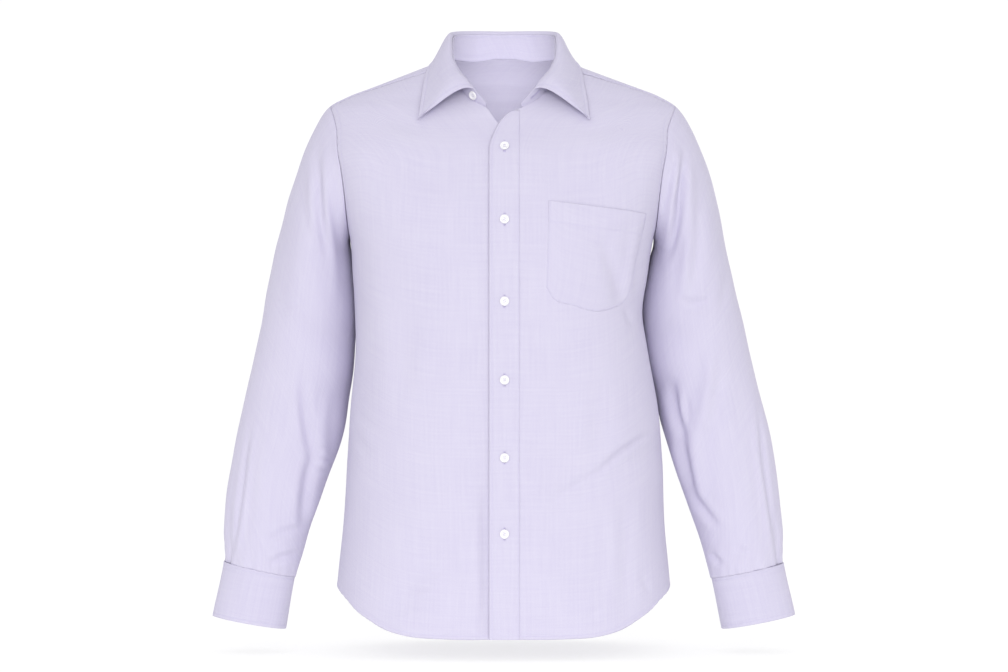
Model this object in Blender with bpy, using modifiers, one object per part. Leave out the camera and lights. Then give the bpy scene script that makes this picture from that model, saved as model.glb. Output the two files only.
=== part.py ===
"""Long sleeve dress shirt, filled out as it is worn, made of cloth walls round real hollows.

Frame: +Z is up, the front faces -Y and the wearer's left is +X. The origin is the middle of the neck at the
height where the shoulder line meets the collar's edge. All sizes here are in millimetres, and a mesh turns
them into metres as it is made. The right and left of a name are the wearer's.
"""

import math

import bmesh
import bpy
import numpy as np
from mathutils import Matrix, Vector

# ---- driving dimensions, in millimetres ----

MM = 0.001
CLOTH = 1.2  # wall of one layer of cloth
FIRM_CLOTH = 1.5  # wall of collar and cuffs, which hold an interlining
SEAM_HALF = 0.2  # each piece is cut this much short of its seam line
STAND_CUT = 0.5  # the stand's foot is cut this much short of the neck seam
SLEEVE_OUT = 0.7  # how far outside the body's wall the sleeve's foot starts
LIFT = 0.6  # between the left front and its button band
POCKET_LIFT = 0.9  # between the left front and its pocket, which bows over the chest
PLACKET_HALF = 18.5  # half the width of the button band
BUTTON_X = 0.6
BUTTON_HEIGHTS = (-99.0, -189.0, -288.0, -383.0, -477.0, -569.0)
UNDERLAP_DIP = 2.3  # how far the right front passes behind the left one
YOKE_BACK_Z = -85.0
SIDE_HEM_Z = -640.0
BACK_TAIL = 1.07  # the back's tail against the front's
ARMHOLE_TOP_Z, ARMHOLE_FOOT_Z = -46.0, -207.0
ARMHOLE_FRONT, ARMHOLE_BACK = 70.0, 80.0
ARMHOLE_EGG = 0.12  # how much fuller the armhole is at its foot than at its top
YOKE_TURN_FRONT, YOKE_TURN_BACK = 19.0, 301.0  # where the yoke's seams meet the armhole
OPENING_Z = -98.0  # the fronts part above this
COLLAR_YOKE = 0.56  # where the yoke's front seam meets the neck seam, along the collar
LEAF_END = 0.80  # where the collar leaf ends, along the collar

# Sections of the body: half widths on the wearer's right and left, depth to front and back, squareness.
BODY_COLUMNS = ("z", "right", "left", "front", "back", "square")
BODY = np.array((
    (-720, 212, 209, 134, 132, 2.5),
    (-640, 208, 207, 137, 128, 2.5),
    (-560, 200, 200, 138, 122, 2.5),
    (-480, 195, 197, 138, 116, 2.5),
    (-420, 191, 192, 138, 112, 2.5),
    (-340, 185, 177.5, 139, 112, 2.6),
    (-300, 186, 172.5, 140, 116, 2.7),
    (-260, 188, 178, 139.5, 120, 2.8),
    (-207, 192, 186.5, 137, 124, 3.1),
    (-170, 200, 195, 130, 124, 3.4),
    (-130, 210, 205, 118, 120, 3.5),
    (-100, 217, 212, 106, 114, 3.4),
    (-75, 219.5, 215, 91, 108, 3.0),
    (-56, 219, 216, 79, 102, 2.7),
    (-46, 216, 213.5, 71.5, 99, 2.5),
    (-38, 206.5, 205, 65, 96.5, 2.3),
    (-30, 192, 191, 59, 93, 2.2),
    (-20, 166, 165, 51, 89, 2.1),
    (-10, 139.7, 139, 42, 84, 2.0),
    (0, 113.4, 113, 30, 79, 2.0),
    (8, 92.4, 92, 20, 74, 2.0),
    (17, 68.7, 68.7, 7, 67, 2.0),
    (24, 50, 50, 1, 61, 2.0),
), float)

# The tail of the hem: how far it drops below the side seam's end, by degrees round the body from there.
HEM_COLUMNS = ("from_side", "drop")
HEM = np.array(((0, 0), (17, 5), (30, 16), (36, 26), (43, 36.5), (49, 46), (58, 54), (72, 57), (90, 57)), float)

# The collar, from the middle of the back (0) to the front end (1): the neck seam in plan, the top of the
# stand, and the lower edge of the leaf. The leaf's columns are read only as far as LEAF_END.
COLLAR_COLUMNS = ("along", "seam_x", "seam_y", "top_x", "top_y", "top_z", "leaf_x", "leaf_y", "leaf_z")
COLLAR = np.array((
    (0.00, 0.0, 64.0, 0.0, 60.0, 52.0, 0.0, 79.0, 13.0),
    (0.18, 40.0, 54.5, 39.0, 50.0, 51.5, 47.0, 69.0, 13.0),
    (0.32, 61.5, 29.0, 60.0, 24.0, 48.0, 76.0, 43.0, 13.0),
    (0.43, 68.2, 3.0, 64.0, -4.0, 42.0, 89.0, 15.0, 12.5),
    (0.53, 67.5, -15.0, 64.5, -28.0, 28.0, 94.5, -7.0, 7.5),
    (0.62, 65.0, -29.0, 63.0, -46.0, 13.0, 98.0, -26.5, -4.5),
    (0.70, 60.0, -42.5, 57.0, -60.0, -1.0, 100.5, -51.0, -24.0),
    (0.80, 51.0, -56.5, 46.5, -71.5, -14.0, 105.0, -88.0, -62.5),
    (0.88, 41.0, -65.0, 37.0, -76.0, -27.0, 105.0, -88.0, -62.5),
    (1.00, 22.0, -74.3, 21.0, -77.0, -45.0, 105.0, -88.0, -62.5),
), float)

# The free edge of each front as far as the stand's end. Below the first row it runs straight down.
OPENING_COLUMNS = ("z", "left_x", "right_x")
OPENING = np.array(((-98, -17.9, 16), (-86, -14, 8), (-74, -8.5, -2), (-64, -2, -11), (-56, 7, -17),
                    (-50, 21.5, -21.5)), float)

# Sleeve rings from the armpit to the cuff's seam, then the cuff's edge. Each has its outer and inner point
# seen from the front, the place of its middle from front to back, and half its depth.
RING_COLUMNS = ("step", "outer_x", "outer_z", "inner_x", "inner_z", "mid_y", "half_depth")
RIGHT_RINGS = np.array((
    (1, 281, -203, 191.5, -231, 20, 76),
    (2, 294, -255, 187.5, -279, 27, 74),
    (3, 306, -315, 186, -336, 28, 68),
    (4, 317.5, -370, 188.5, -391, 28, 62),
    (5, 328, -422, 199, -442, 21, 56),
    (6, 339, -475, 216, -493, 12, 51),
    (7, 346.5, -525, 232, -542, 2, 47.5),
    (8, 350, -570, 247, -588, -6, 44),
    (9, 349, -610, 260, -629.5, -12, 37),
    (10, 363, -677.5, 271, -694, -16, 33),
), float)
LEFT_RINGS = np.array((
    (1, 276, -203, 185.5, -231, 20, 76),
    (2, 287, -255, 175.5, -279, 28, 74),
    (3, 301, -315, 175, -336, 30, 68),
    (4, 313.5, -370, 185, -391, 29, 62),
    (5, 326, -422, 197.5, -442, 21, 56),
    (6, 337, -475, 214, -493, 12, 51),
    (7, 343.5, -525, 231, -542, 2, 47.5),
    (8, 347, -570, 246, -588, -6, 44),
    (9, 348.5, -612, 258, -631, -12, 37),
    (10, 362.5, -676, 270.5, -694, -16, 33),
), float)
CUFF_STEP, CUFF_EDGE_STEP = 9.0, 10.0
SLEEVE_PLACKET_TURNS = (301.0, 286.0, 271.0)
SLEEVE_PLACKET_TIP = 14.0

# The largest folds. On the body: from one end to the other, seen from the front, on the front (-1) or the
# back (1). On a sleeve: at a ring step and a turn round it. Each has a half width and a depth.
# Columns: from x, from z, to x, to z, face, half width, depth.
BODY_FOLDS = np.array((
    (176, -470, 72, -524, -1, 17, 4.0),
    (124, -226, 160, -308, -1, 18, 3.0),
    (-118, -640, -92, -600, -1, 16, 3.0),
    (150, -440, 60, -480, 1, 20, 4.5),
    (-160, -430, -50, -470, 1, 20, 4.5),
    (0, -150, 0, -420, 1, 30, 3.5),
), float)
# Columns: step, turn, half steps, half turn, depth.
SLEEVE_FOLDS = np.array((
    (3.0, 120, 0.45, 42, 5.0),
    (4.3, 150, 0.50, 46, 5.0),
    (3.6, 240, 0.50, 50, 4.0),
    (5.6, 70, 0.55, 38, 3.5),
    (8.3, 30, 1.20, 10, 3.0),
    (8.3, 345, 1.10, 10, 2.5),
), float)

# The chest pocket's corners and the curve of its foot, seen from the front.
POCKET_TOP = ((54.0, -166.0), (174.0, -180.5))
POCKET_FOOT = np.array(((51, -271), (60, -285.5), (85, -294), (112, -300.5), (134, -296), (147, -290.5),
                        (153, -283)), float)

# A button: half its profile in radius and height, from the middle of the face round to that of the back.
BUTTON_PROFILE = ((0.0, 1.5), (3.2, 1.5), (4.1, 2.3), (5.2, 2.3), (5.75, 1.5), (5.2, 0.3), (3.2, 0.0), (0.0, 0.0))
SMALL_BUTTON = 0.8  # the sleeve plackets' buttons against the others
BUTTON_SEAT = 0.3
COLLAR_BUTTON_ALONG = -0.86
GAUNTLET_STEP = 7.6  # ring step of the sleeve plackets' buttons

# Finish of each kind of piece: colour, roughness.
FINISHES = {
    "cloth": ((0.73, 0.70, 0.86, 1.0), 0.85),
    "firm_cloth": ((0.70, 0.67, 0.83, 1.0), 0.82),
    "button": ((0.90, 0.90, 0.89, 1.0), 0.30),
}

# Faces along each seam. Pieces that share a seam share its count, so that their edges run side by side.
HEM_TO_ARMPIT = 15
EDGE_FACES, OPENING_FACES, NECK_FRONT_FACES, NECK_BACK_FACES = 4, 3, 5, 14
ARMHOLE_FRONT_FACES, ARMHOLE_YOKE_FACES, ARMHOLE_BACK_FACES = EDGE_FACES + OPENING_FACES + NECK_FRONT_FACES, 4, 8
FRONT_ACROSS, BACK_ACROSS = 10, 18
SLEEVE_HEAD_FACES, SLEEVE_FACES = 4, 12
CUFF_ROUND, CUFF_OVERLAP = 24, 2
LEAF_ALONG, LEAF_DOWN = 30, 8


# ---- curves through tables ----

def flow(at, knots, values):
    """Smooth curve through points: cubic pieces with the slope of the parabola through three neighbours."""
    at = np.clip(at, knots[0], knots[-1])
    gap = np.diff(knots)
    chord = np.diff(values) / gap
    slope = np.empty_like(values)
    slope[0], slope[-1] = chord[0], chord[-1]
    slope[1:-1] = (chord[:-1] * gap[1:] + chord[1:] * gap[:-1]) / (gap[:-1] + gap[1:])
    k = np.clip(np.searchsorted(knots, at, side="right") - 1, 0, len(gap) - 1)
    t = (at - knots[k]) / gap[k]
    rise = values[k + 1] - values[k]
    return (values[k] + rise * t * t * (3 - 2 * t)
            + gap[k] * (slope[k] * t * (1 - t) ** 2 - slope[k + 1] * t * t * (1 - t)))


def read(rows, columns, name, at):
    """Value of a table's named column at a place along its first column."""
    return flow(np.asarray(at, float), rows[:, 0], rows[:, columns.index(name)])


def unit(vectors):
    return vectors / np.linalg.norm(vectors, axis=-1, keepdims=True)


def ramp(value, start, end):
    """0 before start, 1 after end, and a soft S between."""
    t = np.clip((value - start) / (end - start), 0, 1)
    return t * t * (3 - 2 * t)


def normals(surface, a, b, step_a, step_b):
    """Outward normals of surface(a, b), from its two slopes."""
    along_a = surface(a + step_a, b) - surface(a - step_a, b)
    along_b = surface(a, b + step_b) - surface(a, b - step_b)
    return unit(np.cross(along_a, along_b))


# ---- the body's surface, which the fronts, back and yoke lie on ----

def section(x_sign, y_sign, z):
    """Half width, depth and squareness of the body's section at a height, on the side asked for."""
    side = np.where(x_sign >= 0, read(BODY, BODY_COLUMNS, "left", z), read(BODY, BODY_COLUMNS, "right", z))
    depth = np.where(y_sign <= 0, read(BODY, BODY_COLUMNS, "front", z), read(BODY, BODY_COLUMNS, "back", z))
    return side, depth, read(BODY, BODY_COLUMNS, "square", z)


def body_folds(x, y, z):
    """How far the folds sink: a bell across each fold's line, fading past its ends and at the side seams."""
    sink = np.zeros_like(x)
    for x0, z0, x1, z1, face, half_width, depth in BODY_FOLDS:
        run = np.array((x1 - x0, z1 - z0))
        length = np.hypot(*run)
        along = ((x - x0) * run[0] + (z - z0) * run[1]) / length
        across = ((x - x0) * run[1] - (z - z0) * run[0]) / length
        beyond = np.maximum(0, np.maximum(-along, along - length))
        bell = np.exp(-(across / half_width) ** 2 - (beyond / (1.5 * half_width)) ** 2)
        sink += depth * bell * ramp(y * face, 5, 50)
    return sink


def body(angle, z):
    """Point of the body at an angle from centre front (0, then 90 at the left side, 180 at the back).

    A section is |x / half width|^n + |y / depth|^n = 1, and the folds pull it towards the axis.
    """
    turn = np.radians(angle)
    x, y = np.sin(turn), -np.cos(turn)
    side, depth, square = section(x, y, z)
    reach = (np.abs(x) ** square + np.abs(y) ** square) ** (-1 / square)
    x, y = side * reach * x, depth * reach * y
    shrink = 1 - body_folds(x, y, z) / np.maximum(np.hypot(x, y), 1)
    return np.stack((x * shrink, y * shrink, z + 0 * x), -1)


def body_normals(angle, z):
    return normals(body, angle, z, 0.5, 1.0)


def angle_of(points):
    """The angle round the body at which points lie."""
    x, y, z = np.moveaxis(points, -1, 0)
    side, depth, _ = section(x, y, z)
    return np.degrees(np.arctan2(x / side, -y / depth))


def seat(points):
    """Points moved onto the body's sections, along rays from its axis that rise over the shoulders."""
    low = ramp(points[..., 2], -160, -40)
    axis = np.stack((0.6 * low * points[..., 0], 0 * low, points[..., 2] - 90 * low), -1)
    near, far = np.zeros(low.shape), np.full(low.shape, 3.0)
    for _ in range(40):
        middle = (near + far) / 2
        x, y, z = np.moveaxis(axis + middle[..., None] * (points - axis), -1, 0)
        side, depth, square = section(x, y, z)
        inside = np.abs(x / side) ** square + np.abs(y / depth) ** square < 1
        near, far = np.where(inside, middle, near), np.where(inside, far, middle)
    return axis + near[..., None] * (points - axis)


def on_front(x, z):
    """Point of the front seen at x and z."""
    side, depth, square = section(x, -1, z)
    y = -depth * (1 - np.abs(x / side) ** square) ** (1 / square)
    return np.stack((x + 0 * z, y, z + 0 * x), -1)


def drop(x, y):
    """Point of the shoulder or neck under a place in plan."""
    z = np.linspace(-120, 24, 600)
    side, depth, square = section(x, y, z)
    full = np.abs(x / side) ** square + np.abs(y / depth) ** square
    return np.array((x, y, np.interp(1.0, full, z)))


def armhole(turn, side):
    """Point of the armhole: turn is 0 at the shoulder, 90 in front, 180 under the arm, 270 behind."""
    lap = np.radians(turn)
    middle, half = (ARMHOLE_TOP_Z + ARMHOLE_FOOT_Z) / 2, (ARMHOLE_TOP_Z - ARMHOLE_FOOT_Z) / 2
    z = middle + half * np.cos(lap)
    wide = np.where(np.sin(lap) > 0, ARMHOLE_FRONT, ARMHOLE_BACK) * (1 - ARMHOLE_EGG * np.cos(lap))
    y = -wide * np.sin(lap)
    reach, depth, square = section(side, y, z)
    x = side * reach * (1 - np.abs(y / depth) ** square) ** (1 / square)
    return np.stack((x, y, z), -1)


def hem_z(angle):
    """Height of the hem round the body, with the back's tail a little longer."""
    from_side = np.degrees(np.arcsin(np.abs(np.cos(np.radians(angle)))))
    drop_by = read(HEM, HEM_COLUMNS, "drop", from_side)
    behind = np.cos(np.radians(angle)) < 0
    return SIDE_HEM_Z - drop_by * np.where(behind, BACK_TAIL, 1)


# ---- meshes ----

def finish(name):
    """The material of a kind of piece, made once for each piece."""
    kind = "button" if name.startswith("button") else (
        "firm_cloth" if name.startswith(("collar", "cuff")) else "cloth")
    colour, roughness = FINISHES[kind]
    material = bpy.data.materials.new(name)
    material.use_nodes = True
    shader = material.node_tree.nodes["Principled BSDF"]
    shader.inputs["Base Color"].default_value = colour
    shader.inputs["Roughness"].default_value = roughness
    shader.inputs["Metallic"].default_value = 0.0
    return material


def add_object(name, mesh, smooth_angle=40.0):
    mesh.materials.append(finish(name))
    mesh.shade_smooth()
    mesh.set_sharp_from_angle(angle=math.radians(smooth_angle))
    piece = bpy.data.objects.new(name, mesh)
    SHIRT.objects.link(piece)
    return piece


def trim(points, edges, cut=SEAM_HALF):
    """Draw the named edges of a grid in from their seam lines."""
    points = points.copy()
    steps = {"first_row": (np.s_[0], np.s_[1]), "last_row": (np.s_[-1], np.s_[-2]),
             "first_column": (np.s_[:, 0], np.s_[:, 1]), "last_column": (np.s_[:, -1], np.s_[:, -2])}
    for edge in edges:
        outer, inner = steps[edge]
        points[outer] += cut * unit(points[inner] - points[outer])
    return points


def wall(name, outer, outward, thickness, round_closed=False):
    """A cloth wall: a grid of outer points, the same grid one wall inward, and a rim round its edges.

    The inner grid follows the surface's own normals and not the faces', so two pieces that meet at a seam
    keep their gap through the whole wall. A grid that closes on itself has no rim along its rows' ends.
    """
    inner = outer - thickness * outward
    rows, columns = outer.shape[:2]
    mesh = bmesh.new()
    skins = [[[mesh.verts.new(Vector(p) * MM) for p in row] for row in grid] for grid in (outer, inner)]
    spans = columns if round_closed else columns - 1
    for skin, flip in zip(skins, (False, True)):
        for r in range(rows - 1):
            for c in range(spans):
                d = (c + 1) % columns
                corners = (skin[r][c], skin[r][d], skin[r + 1][d], skin[r + 1][c])
                mesh.faces.new(corners[::-1] if flip else corners)
    front, back = skins
    for c in range(spans):
        d = (c + 1) % columns
        mesh.faces.new((back[0][c], back[0][d], front[0][d], front[0][c]))
        mesh.faces.new((front[-1][c], front[-1][d], back[-1][d], back[-1][c]))
    for r in range(0 if round_closed else rows - 1):
        mesh.faces.new((front[r][0], front[r + 1][0], back[r + 1][0], back[r][0]))
        mesh.faces.new((back[r][-1], back[r + 1][-1], front[r + 1][-1], front[r][-1]))
    bmesh.ops.recalc_face_normals(mesh, faces=mesh.faces)
    made = bpy.data.meshes.new(name)
    mesh.to_mesh(made)
    mesh.free()
    return add_object(name, made)


def grid_between(bottom, top, first, last):
    """Grid between four edges: straight rows from the first edge to the last, bent near the bottom and the
    top to follow those edges, with a bend that fades by the fourth power of the distance."""
    u = np.linspace(0, 1, len(bottom))[None, :, None]
    v = np.linspace(0, 1, len(first))[:, None, None]
    rows = (1 - u) * first[:, None] + u * last[:, None]
    return rows + (1 - v) ** 4 * (bottom[None] - rows[:1]) + v ** 4 * (top[None] - rows[-1:])


def panel(name, points, edges, raised=0.0):
    """A wall on the body: its grid is seated on the body, trimmed, and moved out by what it is raised."""
    points = seat(points)
    angle, z = angle_of(points), points[..., 2]
    outward = body_normals(angle, z)
    lifted = trim(body(angle, z), edges) + np.broadcast_to(raised, z.shape)[..., None] * outward
    return wall(name, lifted, outward, CLOTH)


# ---- seam lines of the body ----

def side_seam(side):
    """From the hem to the armpit."""
    heights = np.linspace(SIDE_HEM_Z, ARMHOLE_FOOT_Z, HEM_TO_ARMPIT + 1)
    return body(np.full_like(heights, 90.0 * side), heights)


def neck_seam(along):
    """Neck seam on the body, at places along the collar: negative on the right."""
    place = np.abs(along)
    x = np.sign(along) * read(COLLAR, COLLAR_COLUMNS, "seam_x", place)
    y = read(COLLAR, COLLAR_COLUMNS, "seam_y", place)
    return np.array([drop(*plan) for plan in np.stack((x, y), -1)])


def front_yoke_seam(side, faces):
    """From the neck to the armhole, straight in plan."""
    start = neck_seam(np.array((side * COLLAR_YOKE,)))[0]
    end = armhole(np.array(YOKE_TURN_FRONT), side)
    share = np.linspace(0, 1, faces + 1)[:, None]
    plan = start[:2] + share * (end[:2] - start[:2])
    seam = np.array([drop(*place) for place in plan])
    seam[-1] = end
    return seam


def edge_heights():
    """Heights of the fronts' rows along their free edges, from the hem to the stand's end."""
    rise = np.linspace(hem_z(0.0), ARMHOLE_FOOT_Z, HEM_TO_ARMPIT + 1)
    chest = np.linspace(ARMHOLE_FOOT_Z, OPENING_Z, EDGE_FACES + 1)
    parted = np.linspace(OPENING_Z, OPENING[-1, 0], OPENING_FACES + 1)
    return np.concatenate((rise, chest[1:], parted[1:]))


def front_edge(side):
    """The free edge of a front from the hem to the stand's end, and on along the neck to the yoke."""
    heights = edge_heights()[:-1]
    free_x = read(OPENING, OPENING_COLUMNS, "left_x" if side > 0 else "right_x", heights)
    neck = neck_seam(side * np.linspace(1.0, COLLAR_YOKE, NECK_FRONT_FACES + 1))
    return np.concatenate((on_front(free_x, heights), neck))


# ---- the pieces ----

def make_front(name, side):
    """A front, from its free edge round to the side seam and up the armhole to the yoke."""
    inner = front_edge(side)
    turns = np.linspace(180, YOKE_TURN_FRONT, ARMHOLE_FRONT_FACES + 1)
    outer = np.concatenate((side_seam(side), armhole(turns[1:], side)))
    start = angle_of(inner[:1])[0]
    angles = start + (90.0 * side - start) * np.linspace(0, 1, FRONT_ACROSS + 1)
    hem = body(angles, hem_z(angles))
    hem[0], hem[-1] = inner[0], outer[0]
    points = grid_between(hem, front_yoke_seam(side, FRONT_ACROSS), inner, outer)
    lapped = ramp(points[..., 0], -44, -20) * ramp(-points[..., 2], 52, 66)
    dip = -UNDERLAP_DIP * lapped if side < 0 else 0.0
    return panel(name, points, ("first_column", "last_row", "last_column"), raised=dip)


def make_back():
    """The back, from side seam to side seam and up to the yoke, laid out by angle and height."""
    turns = np.linspace(180, YOKE_TURN_BACK, ARMHOLE_BACK_FACES + 1)[1:]
    left = np.concatenate((side_seam(1), armhole(turns, 1)))
    right = np.concatenate((side_seam(-1), armhole(turns, -1)))
    angles = np.linspace(90, 270, BACK_ACROSS + 1)
    hem = body(angles, hem_z(angles))
    edges = [np.stack((angle_of(edge) % 360, edge[:, 2]), -1)
             for edge in (hem, back_yoke_seam(BACK_ACROSS), left, right)]
    angle, z = np.moveaxis(grid_between(*edges), -1, 0)
    return panel("back", body(angle, z), ("last_row", "first_column", "last_column"))


def back_yoke_seam(faces):
    ends = angle_of(armhole(np.full(2, YOKE_TURN_BACK), np.array((1, -1))))
    ends[1] = ends[1] % 360
    angles = np.linspace(ends[0], ends[1], faces + 1)
    return body(angles, np.full_like(angles, YOKE_BACK_Z))


def make_yoke():
    """The yoke: over both shoulders and round the back of the neck."""
    left, right = front_yoke_seam(1, FRONT_ACROSS)[::-1], front_yoke_seam(-1, FRONT_ACROSS)
    neck = neck_seam(np.linspace(COLLAR_YOKE, -COLLAR_YOKE, NECK_BACK_FACES + 1))
    front = np.concatenate((left[:-1], neck, right[1:]))
    turns = np.linspace(YOKE_TURN_BACK - 360, YOKE_TURN_FRONT, ARMHOLE_YOKE_FACES + 1)
    points = grid_between(armhole(turns, 1), armhole(turns, -1), back_yoke_seam(len(front) - 1), front)
    return panel("yoke", points.swapaxes(0, 1), ("first_row", "last_row", "first_column", "last_column"))


def make_front_placket():
    """The button band, over the left front's free edge from the hem to the stand's end."""
    heights = edge_heights()[:-1]
    inner = read(OPENING, OPENING_COLUMNS, "left_x", heights)
    outer = np.full_like(inner, BUTTON_X + PLACKET_HALF)
    share = np.linspace(0, 1, 4)
    x = inner[:, None] + share * (outer - inner)[:, None]
    points = on_front(x, np.repeat(heights[:, None], len(share), 1))
    return panel("front_placket", points, (), raised=LIFT + CLOTH)


def make_pocket():
    """The chest pocket, its mouth's edge and its curved foot, with the corners of the foot rounded."""
    run = np.concatenate(((0,), np.cumsum(np.hypot(*np.diff(POCKET_FOOT, axis=0).T))))
    foot_at = np.linspace(0, run[-1], 9)
    foot = np.stack([flow(foot_at, run, POCKET_FOOT[:, k]) for k in (0, 1)], -1)
    top = np.linspace(POCKET_TOP[0], POCKET_TOP[1], 9)
    left = np.linspace(foot[0], top[0], 8)
    right = np.linspace(foot[-1], top[-1], 8)
    plan = grid_between(foot, top, left, right)
    return panel("pocket", on_front(plan[..., 0], plan[..., 1]), (), raised=POCKET_LIFT + CLOTH)


def collar_line(kind, along):
    """The stand's top or the leaf's edge at places along the collar, negative on the right."""
    place = np.abs(along)
    x, y, z = (read(COLLAR, COLLAR_COLUMNS, f"{kind}_{axis}", place) for axis in "xyz")
    return np.stack((np.sign(along) * x, y, z), -1)


def stand_surface(along, share):
    """The stand: straight lines from the neck seam to its top."""
    return neck_seam(along) * (1 - share) + share * collar_line("top", along)


def make_collar_stand():
    """The stand: a band from the neck seam up, rounded off at its front ends."""
    front = np.linspace(COLLAR_YOKE, 1, NECK_FRONT_FACES + 1)
    back = np.linspace(-COLLAR_YOKE, COLLAR_YOKE, NECK_BACK_FACES + 1)
    along = np.concatenate((-front[::-1], back[1:-1], front))
    points = np.stack([stand_surface(along, share) for share in np.linspace(0, 1, 4)])
    outward = unit(np.cross(np.gradient(points, axis=0), np.gradient(points, axis=1)))
    points = trim(trim(points, ("first_row",), STAND_CUT), ("last_row",))
    return wall("collar_stand", points, outward, FIRM_CLOTH)


def leaf_surface(along, share):
    """The leaf: it leaves the stand's top upwards, rolls over, and falls to its edge.

    Each line down it is a cubic with its own start and end directions; the roll grows softer to the front.
    """
    start, end = collar_line("top", along), collar_line("leaf", along)
    away = unit((end - start) * (1, 1, 0))
    forward = ramp(np.abs(along), 0.4, LEAF_END)
    leave = away * 26 + np.stack((0 * along, -14 * forward, 58 - 26 * forward), -1)
    land = (end - start) * 0.9 + away * 4
    t = share[..., None]
    return (start * (1 + 2 * t) * (1 - t) ** 2 + leave * t * (1 - t) ** 2
            + end * t * t * (3 - 2 * t) - land * t * t * (1 - t))


def make_collar_leaf():
    """The collar leaf, sewn to the stand's top and folded down over it to its two points."""
    along, share = np.meshgrid(np.linspace(-LEAF_END, LEAF_END, LEAF_ALONG + 1),
                               np.linspace(0, 1, LEAF_DOWN + 1) ** 1.3)
    points = leaf_surface(along, share)
    down = leaf_surface(along, share + 0.01) - leaf_surface(along, share - 0.01)
    ahead = leaf_surface(along + 0.004, share) - leaf_surface(along - 0.004, share)
    return wall("collar_leaf", trim(points, ("first_row",)), unit(np.cross(ahead, down)), FIRM_CLOTH)


def ring(turn, step, rows, side):
    """Point of a sleeve ring: an oval between its outer and inner points, as deep as the table says."""
    outer_x, outer_z, inner_x, inner_z, mid_y, half_depth = (
        read(rows, RING_COLUMNS, name, step) for name in RING_COLUMNS[1:])
    lap = np.radians(turn)
    x = side * ((outer_x + inner_x) / 2 + np.cos(lap) * (outer_x - inner_x) / 2)
    z = (outer_z + inner_z) / 2 + np.cos(lap) * (outer_z - inner_z) / 2
    return np.stack((x, mid_y - np.sin(lap) * half_depth, z), -1)


def sleeve(turn, step, rows, side):
    """Point of a sleeve. Below the armpit it runs through the rings. Above, each line leaves the armhole
    outward and down, steeper under the arm, and lands on the first ring along the sleeve."""
    turn, step = np.broadcast_arrays(np.asarray(turn, float), np.asarray(step, float))
    tube = ring(turn, np.maximum(step, 1), rows, side)
    over = ((1 + np.cos(np.radians(turn))) / 2)[..., None]
    start = armhole(turn, side) + (1 - over) * (side * SLEEVE_OUT, 0, 0)
    end = ring(turn, np.ones_like(step), rows, side)
    leave = over * (side * 90, 0, -80) + (1 - over) * (side * 6, 0, -26)
    down = ring(turn, np.full_like(step, 1.2), rows, side) - end
    land = unit(down) * np.linalg.norm(end - start, axis=-1, keepdims=True)
    t = np.clip(step, 0, 1)[..., None]
    head = (start * (1 + 2 * t) * (1 - t) ** 2 + leave * t * (1 - t) ** 2
            + end * t * t * (3 - 2 * t) - land * t * t * (1 - t))
    points = np.where(step[..., None] < 1, head, tube)
    middle = (end + ring(turn + 180, np.ones_like(step), rows, side)) / 2
    middle = np.where(step[..., None] < 1, middle, (tube + ring(turn + 180, np.maximum(step, 1), rows, side)) / 2)
    sink = np.zeros_like(turn)
    for at_step, at_turn, half_steps, half_turn, depth in SLEEVE_FOLDS:
        away = (turn - at_turn + 180) % 360 - 180
        sink += depth * np.exp(-((step - at_step) / half_steps) ** 2 - (away / half_turn) ** 2)
    return points + sink[..., None] * unit(middle - points)


def sleeve_normals(turn, step, rows, side):
    """Outward normals of a sleeve, one-sided at the armhole."""
    before, after = np.maximum(step - 0.03, 0.0), step + 0.03
    down = sleeve(turn, after, rows, side) - sleeve(turn, before, rows, side)
    around = sleeve(turn + 1, np.maximum(step, 0.01), rows, side) - sleeve(
        turn - 1, np.maximum(step, 0.01), rows, side)
    return side * unit(np.cross(around, down))


def sleeve_turns():
    """Places round a sleeve that match the faces of the front, the yoke and the back at the armhole."""
    front = np.linspace(YOKE_TURN_FRONT, 180, ARMHOLE_FRONT_FACES + 1)
    back = np.linspace(180, YOKE_TURN_BACK, ARMHOLE_BACK_FACES + 1)
    over = np.linspace(YOKE_TURN_BACK, YOKE_TURN_FRONT + 360, ARMHOLE_YOKE_FACES + 1)
    return np.concatenate((front[:-1], back[:-1], over[:-1]))


def sleeve_steps():
    return np.concatenate((np.linspace(0, 1, SLEEVE_HEAD_FACES + 1)[:-1],
                           np.linspace(1, CUFF_STEP, SLEEVE_FACES + 1)))


def make_sleeve(name, rows, side):
    """A sleeve, closed round, from the armhole to the cuff."""
    turn, step = np.meshgrid(sleeve_turns(), sleeve_steps())
    points = trim(sleeve(turn, step, rows, side), ("first_row", "last_row"))
    return wall(name, points, sleeve_normals(turn, step, rows, side), CLOTH, round_closed=True)


def make_sleeve_placket(name, rows, side):
    """The strip over a sleeve's slit, from the cuff up, with a pointed end."""
    steps = sleeve_steps()[-6:]
    turn, step = np.meshgrid(np.array(SLEEVE_PLACKET_TURNS), steps)
    points = sleeve(turn, step, rows, side)
    outward = sleeve_normals(turn, step, rows, side)
    points[0, 1] += SLEEVE_PLACKET_TIP * unit(points[0, 1] - points[1, 1])
    outer = trim(points, ("last_row",)) + (SEAM_HALF * 2 + CLOTH) * outward
    return wall(name, outer, outward, CLOTH)


def cuff_surface(turn, share, rows, side, over):
    """Point of a cuff between its seam and its edge; over is how far its lapping end rides out."""
    step = CUFF_STEP + share * (CUFF_EDGE_STEP - CUFF_STEP)
    point = ring(turn, step, rows, side)
    middle = (point + ring(turn + 180, step, rows, side)) / 2
    return point + over[..., None] * unit(point - middle)


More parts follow.
